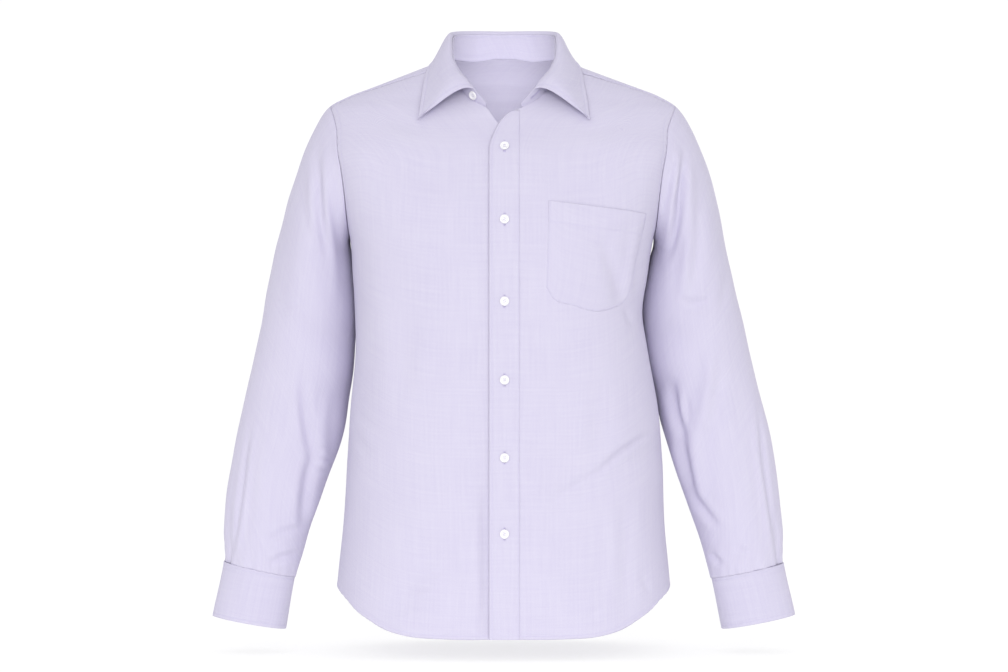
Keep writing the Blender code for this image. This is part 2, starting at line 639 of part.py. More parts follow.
def make_cuff(name, rows, side):
    """A cuff: a band once round the wrist, whose end laps over its start by two faces."""
    count = np.arange(CUFF_ROUND + CUFF_OVERLAP + 1)
    turns = SLEEVE_PLACKET_TURNS[1] - count * 360 / CUFF_ROUND
    over = (FIRM_CLOTH + 2 * SEAM_HALF) * ramp(count, CUFF_ROUND - 5, CUFF_ROUND - 1)
    turn, share = np.meshgrid(turns, np.linspace(0, 1, 4))
    lap = np.broadcast_to(over, turn.shape)
    points = cuff_surface(turn, share, rows, side, lap)
    around = cuff_surface(turn + 1, share, rows, side, lap) - cuff_surface(turn - 1, share, rows, side, lap)
    down = cuff_surface(turn, share + 0.02, rows, side, lap) - cuff_surface(turn, share - 0.02, rows, side, lap)
    outward = side * unit(np.cross(around, down))
    return wall(name, trim(points, ("first_row",)), outward, FIRM_CLOTH)


def make_button(name, place, outward, scale=1.0):
    """A button: half its profile turned about its own axis, then set on its cloth."""
    profile = bpy.data.meshes.new(name)
    points = [(radius * scale * MM, 0, height * scale * MM) for radius, height in BUTTON_PROFILE]
    profile.from_pydata(points, [(k, k + 1) for k in range(len(points) - 1)], [])
    button = add_object(name, profile)
    turned = button.modifiers.new("Turned", "SCREW")
    turned.steps = turned.render_steps = 16
    turned.use_merge_vertices = True
    turned.merge_threshold = 0.00001
    turned.use_normal_calculate = True
    place = np.asarray(place) + BUTTON_SEAT * np.asarray(outward)
    button.matrix_world = Matrix.Translation(Vector(place) * MM) @ Vector(outward).to_track_quat(
        "Z", "Y").to_matrix().to_4x4()
    return button


def front_seat(z):
    """Where a front button sits: on the button band's face, in its middle."""
    point = on_front(np.array(BUTTON_X), np.array(z))[None]
    angle, height = angle_of(point), point[..., 2]
    outward = body_normals(angle, height)[0]
    return body(angle, height)[0] + (LIFT + CLOTH) * outward, outward


def collar_button_seat():
    """Where the collar's button sits: on the right end of the stand."""
    at = np.array((COLLAR_BUTTON_ALONG, COLLAR_BUTTON_ALONG + 0.01, COLLAR_BUTTON_ALONG))
    share = np.array((0.5, 0.5, 0.6))[:, None]
    middle, ahead, above = neck_seam(at) * (1 - share) + share * collar_line("top", at)
    return middle, unit(np.cross(above - middle, ahead - middle))


def cuff_button_seat(rows, side):
    """Where a cuff's button sits: on the lapping end, half way down."""
    turn = np.array((SLEEVE_PLACKET_TURNS[1] - 360 - CUFF_OVERLAP * 180 / CUFF_ROUND,))
    over = np.array((FIRM_CLOTH + 2 * SEAM_HALF,))
    share = np.array((0.5,))
    point = cuff_surface(turn, share, rows, side, over)[0]
    around = cuff_surface(turn + 1, share, rows, side, over)[0] - point
    down = cuff_surface(turn, share + 0.05, rows, side, over)[0] - point
    return point, side * unit(np.cross(around, down))


def gauntlet_button_seat(rows, side):
    """Where a sleeve placket's button sits: on the strip, half way up it."""
    turn, step = np.array((SLEEVE_PLACKET_TURNS[1],)), np.array((GAUNTLET_STEP,))
    outward = sleeve_normals(turn, step, rows, side)[0]
    return sleeve(turn, step, rows, side)[0] + (2 * SEAM_HALF + CLOTH) * outward, outward


# ---- build ----

for old in list(bpy.data.objects):
    bpy.data.objects.remove(old, do_unlink=True)
SHIRT = bpy.data.collections.new("long_sleeve_dress_shirt")
bpy.context.scene.collection.children.link(SHIRT)

make_front("front_left", 1)
make_front("front_right", -1)
make_back()
make_yoke()
make_front_placket()
make_pocket()
make_collar_stand()
make_collar_leaf()
for hand, rings, side_sign in (("right", RIGHT_RINGS, -1), ("left", LEFT_RINGS, 1)):
    make_sleeve(f"sleeve_{hand}", rings, side_sign)
    make_sleeve_placket(f"sleeve_placket_{hand}", rings, side_sign)
    make_cuff(f"cuff_{hand}", rings, side_sign)
    make_button(f"button_cuff_{hand}", *cuff_button_seat(rings, side_sign))
    make_button(f"button_gauntlet_{hand}", *gauntlet_button_seat(rings, side_sign), scale=SMALL_BUTTON)
for number, height in enumerate(BUTTON_HEIGHTS, 1):
    make_button(f"button_front_{number}", *front_seat(height))
make_button("button_collar", *collar_button_seat())
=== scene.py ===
"""Looks of a long sleeve dress shirt in fine lavender cotton, filled out as it is worn.

Lengths are in millimetres until a mesh is made. +Z is up, the front faces -Y, and the right and left of a
name are the wearer's.
"""

import math

import bpy
import numpy as np
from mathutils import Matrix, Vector


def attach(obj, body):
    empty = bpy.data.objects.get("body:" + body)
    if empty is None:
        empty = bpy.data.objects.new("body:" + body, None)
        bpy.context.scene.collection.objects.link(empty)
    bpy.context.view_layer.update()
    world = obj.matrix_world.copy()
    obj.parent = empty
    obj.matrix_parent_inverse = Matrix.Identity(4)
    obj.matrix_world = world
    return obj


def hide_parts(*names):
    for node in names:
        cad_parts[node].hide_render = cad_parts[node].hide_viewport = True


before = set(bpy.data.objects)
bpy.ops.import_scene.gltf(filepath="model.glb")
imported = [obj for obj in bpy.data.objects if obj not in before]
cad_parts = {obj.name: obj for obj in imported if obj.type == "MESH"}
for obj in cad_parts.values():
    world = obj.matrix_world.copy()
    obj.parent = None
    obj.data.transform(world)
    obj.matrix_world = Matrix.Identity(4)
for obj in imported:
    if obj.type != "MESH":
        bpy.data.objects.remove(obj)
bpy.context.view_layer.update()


# ---- The cloth ----
# Fine plain-weave cotton: lavender warp crossed by a paler weft, with a few thick places in the yarn that
# show as faint streaks down and across the cloth. It is soft and dull, and every panel is cut from it.

MM = 0.001
YARN = 0.38  # from one yarn to the next
WARP, WEFT = (0.560, 0.524, 0.690, 1), (0.665, 0.640, 0.762, 1)


def wire(tree, kind, inputs, **settings):
    """Add a node, set its properties, and feed its inputs with sockets or values."""
    node = tree.nodes.new(kind)
    for key, value in settings.items():
        setattr(node, key, value)
    for key, value in inputs.items():
        if isinstance(value, bpy.types.NodeSocket):
            tree.links.new(value, node.inputs[key])
        else:
            node.inputs[key].default_value = value
    return node


def maths(tree, operation, *values):
    """The result of one Math node on sockets or numbers."""
    return wire(tree, "ShaderNodeMath", dict(enumerate(values)), operation=operation).outputs[0]


def weave_group():
    """Plain weave. Each yarn is a round ridge, a square cell shows warp or weft in turn as on a chessboard,
    and stretched noise adds thick places along the yarns both ways."""
    tree = bpy.data.node_groups.new("plain weave", "ShaderNodeTree")
    for name, kind in (("Place", "NodeSocketVector"), ("Warp", "NodeSocketColor"),
                       ("Weft", "NodeSocketColor")):
        tree.interface.new_socket(name, in_out="INPUT", socket_type=kind)
    for name, kind in (("Colour", "NodeSocketColor"), ("Height", "NodeSocketFloat"),
                       ("Rough", "NodeSocketFloat")):
        tree.interface.new_socket(name, in_out="OUTPUT", socket_type=kind)
    given = tree.nodes.new("NodeGroupInput")
    place = wire(tree, "ShaderNodeSeparateXYZ", {0: given.outputs["Place"]}).outputs
    across, along = (maths(tree, "DIVIDE", place[axis], YARN * MM) for axis in (0, 1))
    parity = maths(tree, "MODULO", maths(tree, "ADD", maths(tree, "FLOOR", across),
                                         maths(tree, "FLOOR", along)), 2.0)
    on_top = maths(tree, "ABSOLUTE", parity)
    ridge_a, ridge_b = (maths(tree, "ABSOLUTE", maths(tree, "SINE", maths(tree, "MULTIPLY", v, math.pi)))
                        for v in (across, along))
    ridge = wire(tree, "ShaderNodeMix", {0: on_top, 2: ridge_a, 3: ridge_b}).outputs[0]
    streaks = []
    for stretch in ((430, 13, 1), (13, 430, 1)):
        spot = wire(tree, "ShaderNodeMapping", {"Vector": given.outputs["Place"],
                                                "Scale": stretch}).outputs[0]
        noise = wire(tree, "ShaderNodeTexNoise", {"Vector": spot, "Scale": 1.0, "Detail": 2.0}).outputs[0]
        streaks.append(maths(tree, "SUBTRACT", noise, 0.5))
    streak = maths(tree, "ADD", *streaks)
    cloud = wire(tree, "ShaderNodeTexNoise", {"Vector": given.outputs["Place"], "Scale": 14.0,
                                              "Detail": 3.0}).outputs[0]
    shift = maths(tree, "ADD", maths(tree, "MULTIPLY", streak, 0.62),
                  maths(tree, "MULTIPLY", maths(tree, "SUBTRACT", cloud, 0.5), 0.3))
    thread = wire(tree, "ShaderNodeMix", {0: maths(tree, "ADD", maths(tree, "MULTIPLY", on_top, 0.55),
                                                   maths(tree, "ADD", shift, 0.22)),
                                          6: given.outputs["Warp"], 7: given.outputs["Weft"]},
                  data_type="RGBA", clamp_factor=True).outputs[2]
    height = maths(tree, "ADD", ridge, maths(tree, "MULTIPLY", streak, 1.5))
    rough = maths(tree, "ADD", 0.86, maths(tree, "MULTIPLY", streak, 0.2))
    result = tree.nodes.new("NodeGroupOutput")
    for name, socket in (("Colour", thread), ("Height", height), ("Rough", rough)):
        tree.links.new(socket, result.inputs[name])
    return tree


WEAVE = weave_group()


def shaded(name):
    """A new material, its node tree and its shader."""
    material = bpy.data.materials.new(name)
    material.use_nodes = True
    return material, material.node_tree, material.node_tree.nodes["Principled BSDF"]


def cloth_material(name, warp=WARP, weft=WEFT):
    """Cotton laid along a piece's own cutting map, so that the yarns follow the cloth."""
    material, tree, shader = shaded(name)
    cut = wire(tree, "ShaderNodeUVMap", {}, uv_map="cut").outputs[0]
    weave = wire(tree, "ShaderNodeGroup", {}, node_tree=WEAVE)
    weave.inputs["Warp"].default_value, weave.inputs["Weft"].default_value = warp, weft
    tree.links.new(cut, weave.inputs["Place"])
    bump = wire(tree, "ShaderNodeBump", {"Strength": 0.35, "Distance": 0.00008,
                                         "Height": weave.outputs["Height"]})
    tree.links.new(weave.outputs["Colour"], shader.inputs["Base Color"])
    tree.links.new(weave.outputs["Rough"], shader.inputs["Roughness"])
    tree.links.new(bump.outputs[0], shader.inputs["Normal"])
    shader.inputs["Specular IOR Level"].default_value = 0.25
    shader.inputs["Sheen Weight"].default_value = 0.12
    shader.inputs["Sheen Roughness"].default_value = 0.5
    return material


COTTON = cloth_material("lavender cotton")

# ---- The fronts ----
# Two panels of one layer of cotton, from the free edge round to the side seam and up the armhole to the
# shoulder. The left one laps over the right one, and the hem of both drops in a tail with a stitched fold.

CLOTH_WALL = 0.6
DIP = 2.3  # how far the right front passes behind the left one
OPENING_Z = -98.0  # the fronts part above this
COLLAR_YOKE = 0.56  # where the yoke's front seam meets the neck seam, along the collar
SIDE_HEM_Z = -640.0
BACK_TAIL = 1.07
ARMHOLE_TOP_Z, ARMHOLE_FOOT_Z = -46.0, -207.0
ARMHOLE_FRONT, ARMHOLE_BACK = 70.0, 80.0
ARMHOLE_EGG = 0.12
YOKE_TURN_FRONT, YOKE_TURN_BACK = 19.0, 301.0
YOKE_BACK_Z = -85.0

# Sections of the body: half widths on the wearer's right and left, depth to front and back, squareness.
BODY_COLUMNS = ("z", "right", "left", "front", "back", "square")
BODY = np.array((
    (-720, 212, 209, 134, 132, 2.5),
    (-640, 208, 207, 137, 128, 2.5),
    (-560, 200, 200, 138, 122, 2.5),
    (-480, 195, 197, 138, 116, 2.5),
    (-420, 191, 192, 138, 112, 2.5),
    (-340, 185, 177.5, 139, 112, 2.6),
    (-300, 186, 172.5, 140, 116, 2.7),
    (-260, 188, 178, 139.5, 120, 2.8),
    (-207, 192, 186.5, 137, 124, 3.1),
    (-170, 200, 195, 130, 124, 3.4),
    (-130, 210, 205, 118, 120, 3.5),
    (-100, 217, 212, 106, 114, 3.4),
    (-75, 219.5, 215, 91, 108, 3.0),
    (-56, 219, 216, 79, 102, 2.7),
    (-46, 216, 213.5, 71.5, 99, 2.5),
    (-38, 206.5, 205, 65, 96.5, 2.3),
    (-30, 192, 191, 59, 93, 2.2),
    (-20, 166, 165, 51, 89, 2.1),
    (-10, 139.7, 139, 42, 84, 2.0),
    (0, 113.4, 113, 30, 79, 2.0),
    (8, 92.4, 92, 20, 74, 2.0),
    (17, 68.7, 68.7, 7, 67, 2.0),
    (24, 50, 50, 1, 61, 2.0),
), float)

# The tail of the hem: how far it drops below the side seam's end, by degrees round the body from there.
HEM_COLUMNS = ("from_side", "drop")
HEM = np.array(((0, 0), (17, 5), (30, 16), (36, 26), (43, 36.5), (49, 46), (58, 54), (72, 57),
                (90, 57)), float)

# The neck seam in plan, from the middle of the back (0) to the front end (1).
NECK_COLUMNS = ("along", "x", "y")
NECK = np.array(((0.00, 0.0, 64.0), (0.18, 40.0, 54.5), (0.32, 61.5, 29.0), (0.43, 68.2, 3.0),
                 (0.53, 67.5, -15.0), (0.62, 65.0, -29.0), (0.70, 60.0, -42.5), (0.80, 51.0, -56.5),
                 (0.88, 41.0, -65.0), (1.00, 22.0, -74.3)), float)

# The free edge of each front as far as the stand's end. Below the first row it runs straight down.
OPENING_COLUMNS = ("z", "left_x", "right_x")
OPENING = np.array(((-98, -17.9, 16), (-86, -14, 8), (-74, -8.5, -2), (-64, -2, -11), (-56, 7, -17),
                    (-50, 21.5, -21.5)), float)

# The broad folds, in order: from x, from z, to x, to z, face (-1 front, 1 back), half width, depth.
BROAD_FOLDS = (
    (176, -470, 72, -524, -1, 17, 4.0),
    (124, -226, 160, -308, -1, 18, 3.0),
    (-118, -640, -92, -600, -1, 16, 3.0),
    (150, -440, 60, -480, 1, 20, 4.5),
    (-160, -430, -50, -470, 1, 20, 4.5),
    (0, -150, 0, -420, 1, 30, 3.5),
)

# The creases of the body, in order: from x, from z, to x, to z, bow, half width, rise (a trough if negative).
FRONT_CREASES = (
    (180, -450, 112, -499, 4, 4.5, -2.3),
    (130, -487, 58, -530, 2, 3.8, -1.3),
    (166, -440, 112, -478, 3, 13, 1.4),
    (112, -380, 117, -476, 0, 13, -1.2),
    (120, -214, 141, -294, -3, 9, -1.9),
    (167, -180, 149, -292, 3, 6, 1.5),
    (148, -294, 158, -320, 0, 4.5, -1.6),
    (152, -500, 148, -690, 4, 11, -0.9),
    (128, -528, 136, -655, -3, 9, 0.9),
    (167, -618, 177, -645, 0, 4.5, -1.1),
    (98, -673, 118, -656, 2, 5, -0.9),
    (40, -668, 64, -660, 0, 6, -0.6),
    (172, -96, 152, -150, 5, 12, -1.0),
    (150, -60, 96, -84, -4, 11, -0.9),
    (-107, -280, -120, -410, 4, 14, -1.2),
    (-160, -210, -150, -420, -5, 15, 1.0),
    (-182, -424, -154, -438, 3, 6, -1.2),
    (-184, -452, -158, -476, 3, 6.5, -1.2),
    (-120, -640, -88, -631, 2, 3.8, -1.1),
    (-97, -620, -70, -611, 2, 3.6, -0.9),
    (-150, -662, -100, -657, 2, 5, -0.8),
    (-47, -545, -26, -533, 0, 5, -0.7),
    (-24, -500, -22.5, -700, 0, 6, -2.6),
    (-66, -560, -60, -680, 3, 14, -0.9),
    (-170, -88, -140, -150, -5, 13, -1.0),
    (-150, -52, -100, -78, 4, 11, -0.9),
    (30, -150, 46, -330, -4, 16, -0.6),
    (-60, -120, -46, -300, 4, 18, -0.6),
)

SHOULDER_LIFT = 3.6
SEAM_BEND = 0.92  # share of the front yoke seam that lies on the body's own form
EASING = 11.0  # how far in from the armhole the panels are eased
HEM_FOLD, HEM_STITCH = 5.5, 4.6  # the hem's turning, and the row of stitches that holds it
ARM_STITCH = 8.0  # the row of stitches beside the armhole
ARM_STITCH_START = 6  # rows above the armpit at which that row starts
ABOVE_ARMPIT = (-222, -205)  # heights between which a panel passes from side seam to armhole
EDGE_ROWS = (150, 36, 16, 26)  # hem to armpit, to the opening, to the stand's end, and along the neck
FRONT_COLUMNS = 96


def flow(at, knots, values):
    """Smooth curve through points: cubic pieces with the slope of the parabola through three neighbours."""
    at = np.clip(at, knots[0], knots[-1])
    gap = np.diff(knots)
    chord = np.diff(values) / gap
    slope = np.empty_like(values)
    slope[0], slope[-1] = chord[0], chord[-1]
    slope[1:-1] = (chord[:-1] * gap[1:] + chord[1:] * gap[:-1]) / (gap[:-1] + gap[1:])
    k = np.clip(np.searchsorted(knots, at, side="right") - 1, 0, len(gap) - 1)
    t = (at - knots[k]) / gap[k]
    rise = values[k + 1] - values[k]
    return (values[k] + rise * t * t * (3 - 2 * t)
            + gap[k] * (slope[k] * t * (1 - t) ** 2 - slope[k + 1] * t * t * (1 - t)))


def read(rows, columns, name, at):
    """Value of a table's named column at a place along its first column."""
    return flow(np.asarray(at, float), rows[:, 0], rows[:, columns.index(name)])


def unit(vectors):
    """The same directions, each with length 1."""
    return vectors / np.maximum(np.linalg.norm(vectors, axis=-1, keepdims=True), 1e-9)


def ramp(value, start, end):
    """0 before start, 1 after end, and a soft S between."""
    t = np.clip((value - start) / (end - start), 0, 1)
    return t * t * (3 - 2 * t)


def closer(count, start=0.0, end=0.0):
    """Shares from 0 to 1 in count steps, with the steps at the start or end shortened by those parts: t plus
    start * t(t-1) * (1-t), plus the same turned round for the end."""
    t = np.linspace(0, 1, count + 1)
    return t - start * t * (1 - t) ** 2 + end * t * t * (1 - t)


def section(x_sign, y_sign, z):
    """Half width, depth and squareness of the body's section at a height, on the side asked for."""
    side = np.where(x_sign >= 0, read(BODY, BODY_COLUMNS, "left", z), read(BODY, BODY_COLUMNS, "right", z))
    depth = np.where(y_sign <= 0, read(BODY, BODY_COLUMNS, "front", z), read(BODY, BODY_COLUMNS, "back", z))
    return side, depth, read(BODY, BODY_COLUMNS, "square", z)


def body_folds(x, y, z):
    """How far the broad folds sink: a bell across each fold's line, fading past its ends and at the sides."""
    sink = np.zeros_like(x)
    for x0, z0, x1, z1, face, half_width, depth in BROAD_FOLDS:
        length = math.hypot(x1 - x0, z1 - z0)
        along = ((x - x0) * (x1 - x0) + (z - z0) * (z1 - z0)) / length
        across = ((x - x0) * (z1 - z0) - (z - z0) * (x1 - x0)) / length
        beyond = np.maximum(0, np.maximum(-along, along - length))
        bell = np.exp(-(across / half_width) ** 2 - (beyond / (1.5 * half_width)) ** 2)
        sink += depth * bell * ramp(y * face, 5, 50)
    return sink


def body(angle, z):
    """Point of the body at an angle from centre front: |x / half width|^n + |y / depth|^n = 1, pulled towards
    the axis by the broad folds."""
    turn = np.radians(angle)
    x, y = np.sin(turn), -np.cos(turn)
    side, depth, square = section(x, y, z)
    reach = (np.abs(x) ** square + np.abs(y) ** square) ** (-1 / square)
    x, y = side * reach * x, depth * reach * y
    shrink = 1 - body_folds(x, y, z) / np.maximum(np.hypot(x, y), 1)
    return np.stack((x * shrink, y * shrink, z + 0 * x), -1)


def angle_of(points):
    """The angle round the body at which points lie."""
    x, y, z = np.moveaxis(points, -1, 0)
    side, depth, _ = section(x, y, z)
    return np.degrees(np.arctan2(x / side, -y / depth))


def seat(points):
    """Points moved onto the body's sections, along rays from its axis that rise over the shoulders, by
    halving the stretch of ray that holds the surface."""
    low = ramp(points[..., 2], -160, -40)
    axis = np.stack((0.6 * low * points[..., 0], 0 * low, points[..., 2] - 90 * low), -1)
    near, far = np.zeros(low.shape), np.full(low.shape, 3.0)
    for _ in range(36):
        middle = (near + far) / 2
        x, y, z = np.moveaxis(axis + middle[..., None] * (points - axis), -1, 0)
        side, depth, square = section(x, y, z)
        inside = np.abs(x / side) ** square + np.abs(y / depth) ** square < 1
        near, far = np.where(inside, middle, near), np.where(inside, far, middle)
    return axis + near[..., None] * (points - axis)


def on_front(x, z):
    """Point of the front seen at x and z."""
    side, depth, square = section(x, -1, z)
    y = -depth * (1 - np.abs(x / side) ** square) ** (1 / square)
    return np.stack((x + 0 * z, y, z + 0 * x), -1)


def drop(x, y):
    """Point of the shoulder or neck under a place in plan."""
    z = np.linspace(-120, 24, 600)
    side, depth, square = section(x, y, z)
    full = np.abs(x / side) ** square + np.abs(y / depth) ** square
    return np.array((x, y, np.interp(1.0, full, z)))


def armhole(turn, side):
    """Point of the armhole: turn is 0 at the shoulder, 90 in front, 180 under the arm, 270 behind."""
    lap = np.radians(turn)
    middle, half = (ARMHOLE_TOP_Z + ARMHOLE_FOOT_Z) / 2, (ARMHOLE_TOP_Z - ARMHOLE_FOOT_Z) / 2
    z = middle + half * np.cos(lap)
    wide = np.where(np.sin(lap) > 0, ARMHOLE_FRONT, ARMHOLE_BACK) * (1 - ARMHOLE_EGG * np.cos(lap))
    y = -wide * np.sin(lap)
    reach, depth, square = section(side, y, z)
    x = side * reach * (1 - np.abs(y / depth) ** square) ** (1 / square)
    return np.stack((x, y, z), -1)


def hem_z(angle):
    """Height of the hem round the body, with the back's tail a little longer."""
    from_side = np.degrees(np.arcsin(np.abs(np.cos(np.radians(angle)))))
    behind = np.cos(np.radians(angle)) < 0
    return SIDE_HEM_Z - read(HEM, HEM_COLUMNS, "drop", from_side) * np.where(behind, BACK_TAIL, 1)


def grid_between(bottom, top, first, last, across, up):
    """Grid between four edges: rows from the first edge to the last, bent near the bottom and the top to
    follow those edges, with a bend that fades by the fourth power of the distance."""
    u, v = across[None, :, None], up[:, None, None]
    rows = (1 - u) * first[:, None] + u * last[:, None]
    return rows + (1 - v) ** 4 * (bottom[None] - rows[:1]) + v ** 4 * (top[None] - rows[-1:])


def neck_seam(along):
    """Neck seam on the body, at places along the collar: negative on the right."""
    x = np.sign(along) * read(NECK, NECK_COLUMNS, "x", np.abs(along))
    y = read(NECK, NECK_COLUMNS, "y", np.abs(along))
    return np.array([drop(*plan) for plan in np.stack((x, y), -1)])


def front_yoke_seam(side, shares):
    """From the neck to the armhole, straight in plan; its last stretch, where the body's own edge falls away,
    runs straight to the armhole."""
    start = neck_seam(np.array((side * COLLAR_YOKE,)))[0]
    end = armhole(np.array(YOKE_TURN_FRONT), side)
    over_edge = np.clip((shares - SEAM_BEND) / (1 - SEAM_BEND), 0, 1)[:, None]
    on_body = np.array([drop(*(start[:2] + share * (end[:2] - start[:2])))
                        for share in np.minimum(shares, SEAM_BEND)])
    return on_body + over_edge * (end - on_body)


def facing(points, out=1, closed=False):
    """Unit normals of a grid: the cross product of its slopes along the columns and the rows."""
    if closed:
        ahead = np.roll(points, -1, 1) - np.roll(points, 1, 1)
    else:
        ahead = np.gradient(points, axis=1)
    return out * unit(np.cross(ahead, np.gradient(points, axis=0)))


def lengths(points, axis):
    """Distance walked along the rows or columns of a grid from its first point."""
    steps = np.linalg.norm(np.diff(points, axis=axis), axis=-1)
    start = np.zeros_like(np.take(steps, [0], axis))
    return np.concatenate((start, np.cumsum(steps, axis)), axis)


def creases(points, outward, rows, face=-1):
    """Rise of the creases: across each line a trough or ridge (1 - q^2) * exp(-q^2 / 2) with its lips, strong
    in the middle, gone past its ends and on cloth that faces the other way."""
    x, z = points[..., 0], points[..., 2]
    total = np.zeros_like(x)
    for x0, z0, x1, z1, bow, half_width, rise in rows:
        length = math.hypot(x1 - x0, z1 - z0)
        along = ((x - x0) * (x1 - x0) + (z - z0) * (z1 - z0)) / length ** 2
        across = ((x - x0) * (z1 - z0) - (z - z0) * (x1 - x0)) / length
        q = (across - bow * 4 * np.clip(along, 0, 1) * (1 - np.clip(along, 0, 1))) / half_width
        fade = ramp(along, -0.12, 0.35) * ramp(-along, -1.12, -0.65)
        total += rise * fade * (1 - q * q) * np.exp(-q * q / 2)
    return total * ramp(face * outward[..., 1], 0.02, 0.4)


def rumple(points, size=1.0):
    """Slight waves in cloth that hangs free: three sums of crossing sines, a hand's breadth apart."""
    x, y, z = np.moveaxis(points, -1, 0)
    return size * (0.30 * np.sin(x / 21 + z / 58 + y / 33) + 0.26 * np.sin(z / 27 - x / 39 + y / 19 + 0.8)
                   + 0.18 * np.sin(z / 11.5 + x / 23 - y / 31 + 2.1) * np.sin(x / 37 - z / 71))


def pucker(run, from_edge, depth=0.22, pitch=9.0, reach=6.0):
    """Gathers that a seam draws in: a wave along it that swells and fades, gone at reach from it."""
    wave = np.sin(2 * math.pi * run / pitch + 1.9 * np.sin(run / 11.3)) * (0.6 + 0.4 * np.sin(run / 29))
    return depth * wave * np.exp(-(from_edge / reach) ** 2)


def folded_edge(from_edge, width, step=0.3, fall=0.5):
    """A turned edge: cloth stands a step higher over the turning's width, and rounds off at the fold."""
    return step * ramp(from_edge, width + 1.2, width - 0.6) - fall * np.exp(-from_edge / 0.7)


def ditch(from_edge, at, depth=0.22, half_width=1.1):
    """The groove that a row of stitches draws."""
    return -depth * np.exp(-((from_edge - at) / half_width) ** 2)


def relaxed(points, hold, rounds=14):
    """Columns eased into each other where a panel turns sharply into the armhole; hold is 1 where the easing
    works fully and 0 where it doesn't."""
    points = points.copy()
    for _ in range(rounds):
        middle = (points[:, :-2] + points[:, 2:]) / 2
        points[:, 1:-1] += 0.5 * hold[:, 1:-1, None] * (middle - points[:, 1:-1])
    return points


def shoulder_lift(turn):
    """How far the seam over the shoulder's end rises over the body's own edge."""
    return SHOULDER_LIFT * ((1 + np.cos(np.radians(turn))) / 2) ** 5


def mesh_piece(name, points, faces, material, cut=None):
    """A smooth mesh, built in metres, with its cutting map where it has one."""
    mesh = bpy.data.meshes.new(name)
    mesh.from_pydata(np.asarray(points).reshape(-1, 3) * MM, [], np.asarray(faces).tolist())
    if cut is not None:
        layer = mesh.uv_layers.new(name="cut")
        layer.data.foreach_set("uv", (np.asarray(cut).reshape(-1) * MM).astype(np.float32))
    mesh.materials.append(material)
    mesh.shade_smooth()
    piece = bpy.data.objects.new(name, mesh)
    bpy.context.scene.collection.objects.link(piece)
    return piece


def grid_faces(rows, columns, out=1, closed=False):
    """Four corners of each face of a grid, as places in its flat list, and the same as row and column."""
    r, c = np.meshgrid(np.arange(rows - 1), np.arange(columns if closed else columns - 1), indexing="ij")
    r, c = r.ravel(), c.ravel()
    corners_r = np.stack((r, r, r + 1, r + 1), -1)
    corners_c = np.stack((c, c + 1, c + 1, c), -1)
    if out < 0:
        corners_r, corners_c = corners_r[:, ::-1], corners_c[:, ::-1]
    return corners_r * columns + corners_c % columns, corners_r, corners_c


def cloth(name, points, node, out=1, closed=False, wall=CLOTH_WALL, material=COTTON):
    """One piece of cloth: a grid as a single skin, its cutting map worked out by walking along its rows and
    columns, and a wall given inwards."""
    faces, rows, columns = grid_faces(*points.shape[:2], out, closed)
    round_it = np.concatenate((points, points[:, :1]), 1) if closed else points
    across, up = lengths(round_it, 1), lengths(round_it, 0)
    cut = np.stack((across[rows, columns], up[rows, columns]), -1)
    piece = mesh_piece(name, points, faces, material, cut)
    solid = piece.modifiers.new("Wall", "SOLIDIFY")
    solid.thickness = wall * MM
    solid.offset = -1.0
    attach(piece, "root")
    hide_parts(node)
    return piece


def inset(points, outward, edge, distance):
    """The line at a distance inside one edge of a grid, with its normals: each row or column is walked in
    from that edge and cut between the two points that the distance falls between."""
    grids = [np.swapaxes(g, 0, 1) if edge in ("first_row", "last_row") else g for g in (points, outward)]
    if edge in ("last_row", "last_column"):
        grids = [g[:, ::-1] for g in grids]
    walked = lengths(grids[0], 1)
    k = np.clip((walked < distance).sum(1) - 1, 0, walked.shape[1] - 2)
    row = np.arange(len(k))
    t = ((distance - walked[row, k]) / (walked[row, k + 1] - walked[row, k]))[:, None]
    return [g[row, k] * (1 - t) + g[row, k + 1] * t for g in grids]


def trim_ends(line, start, end):
    """A line with its ends cut back by two distances."""
    walked = lengths(line[0], 0)
    keep = (walked >= start) & (walked <= walked[-1] - end)
    return [part[keep] for part in line]


THREAD_RADIUS, STITCH, STITCH_GAP = 0.17, 2.0, 0.55
THREAD_RINGS = np.array(((-0.5, 0.15, -0.4), (-0.38, 0.8, 0.3), (0.0, 1.0, 0.75), (0.38, 0.8, 0.3),
                         (0.5, 0.15, -0.4)))  # place along a stitch, thickness, height above the cloth


def thread_material():
    """Spun thread a shade deeper than the cloth, twisted into fine slanting ribs."""
    material, tree, shader = shaded("sewing thread")
    place = wire(tree, "ShaderNodeTexCoord", {}).outputs["Object"]
    tint = wire(tree, "ShaderNodeTexNoise", {"Vector": place, "Scale": 900.0, "Detail": 1.0}).outputs[0]
    colour = wire(tree, "ShaderNodeMix", {0: tint, 6: (0.50, 0.455, 0.68, 1), 7: (0.63, 0.59, 0.79, 1)},
                  data_type="RGBA").outputs[2]
    twist = wire(tree, "ShaderNodeTexWave", {"Vector": place, "Scale": 1500.0, "Distortion": 1.0},
                 bands_direction="DIAGONAL").outputs[1]
    bump = wire(tree, "ShaderNodeBump", {"Strength": 0.4, "Distance": 0.00005, "Height": twist})
    tree.links.new(colour, shader.inputs["Base Color"])
    tree.links.new(bump.outputs[0], shader.inputs["Normal"])
    shader.inputs["Roughness"].default_value = 0.6
    shader.inputs["Sheen Weight"].default_value = 0.2
    return material


THREAD = thread_material()


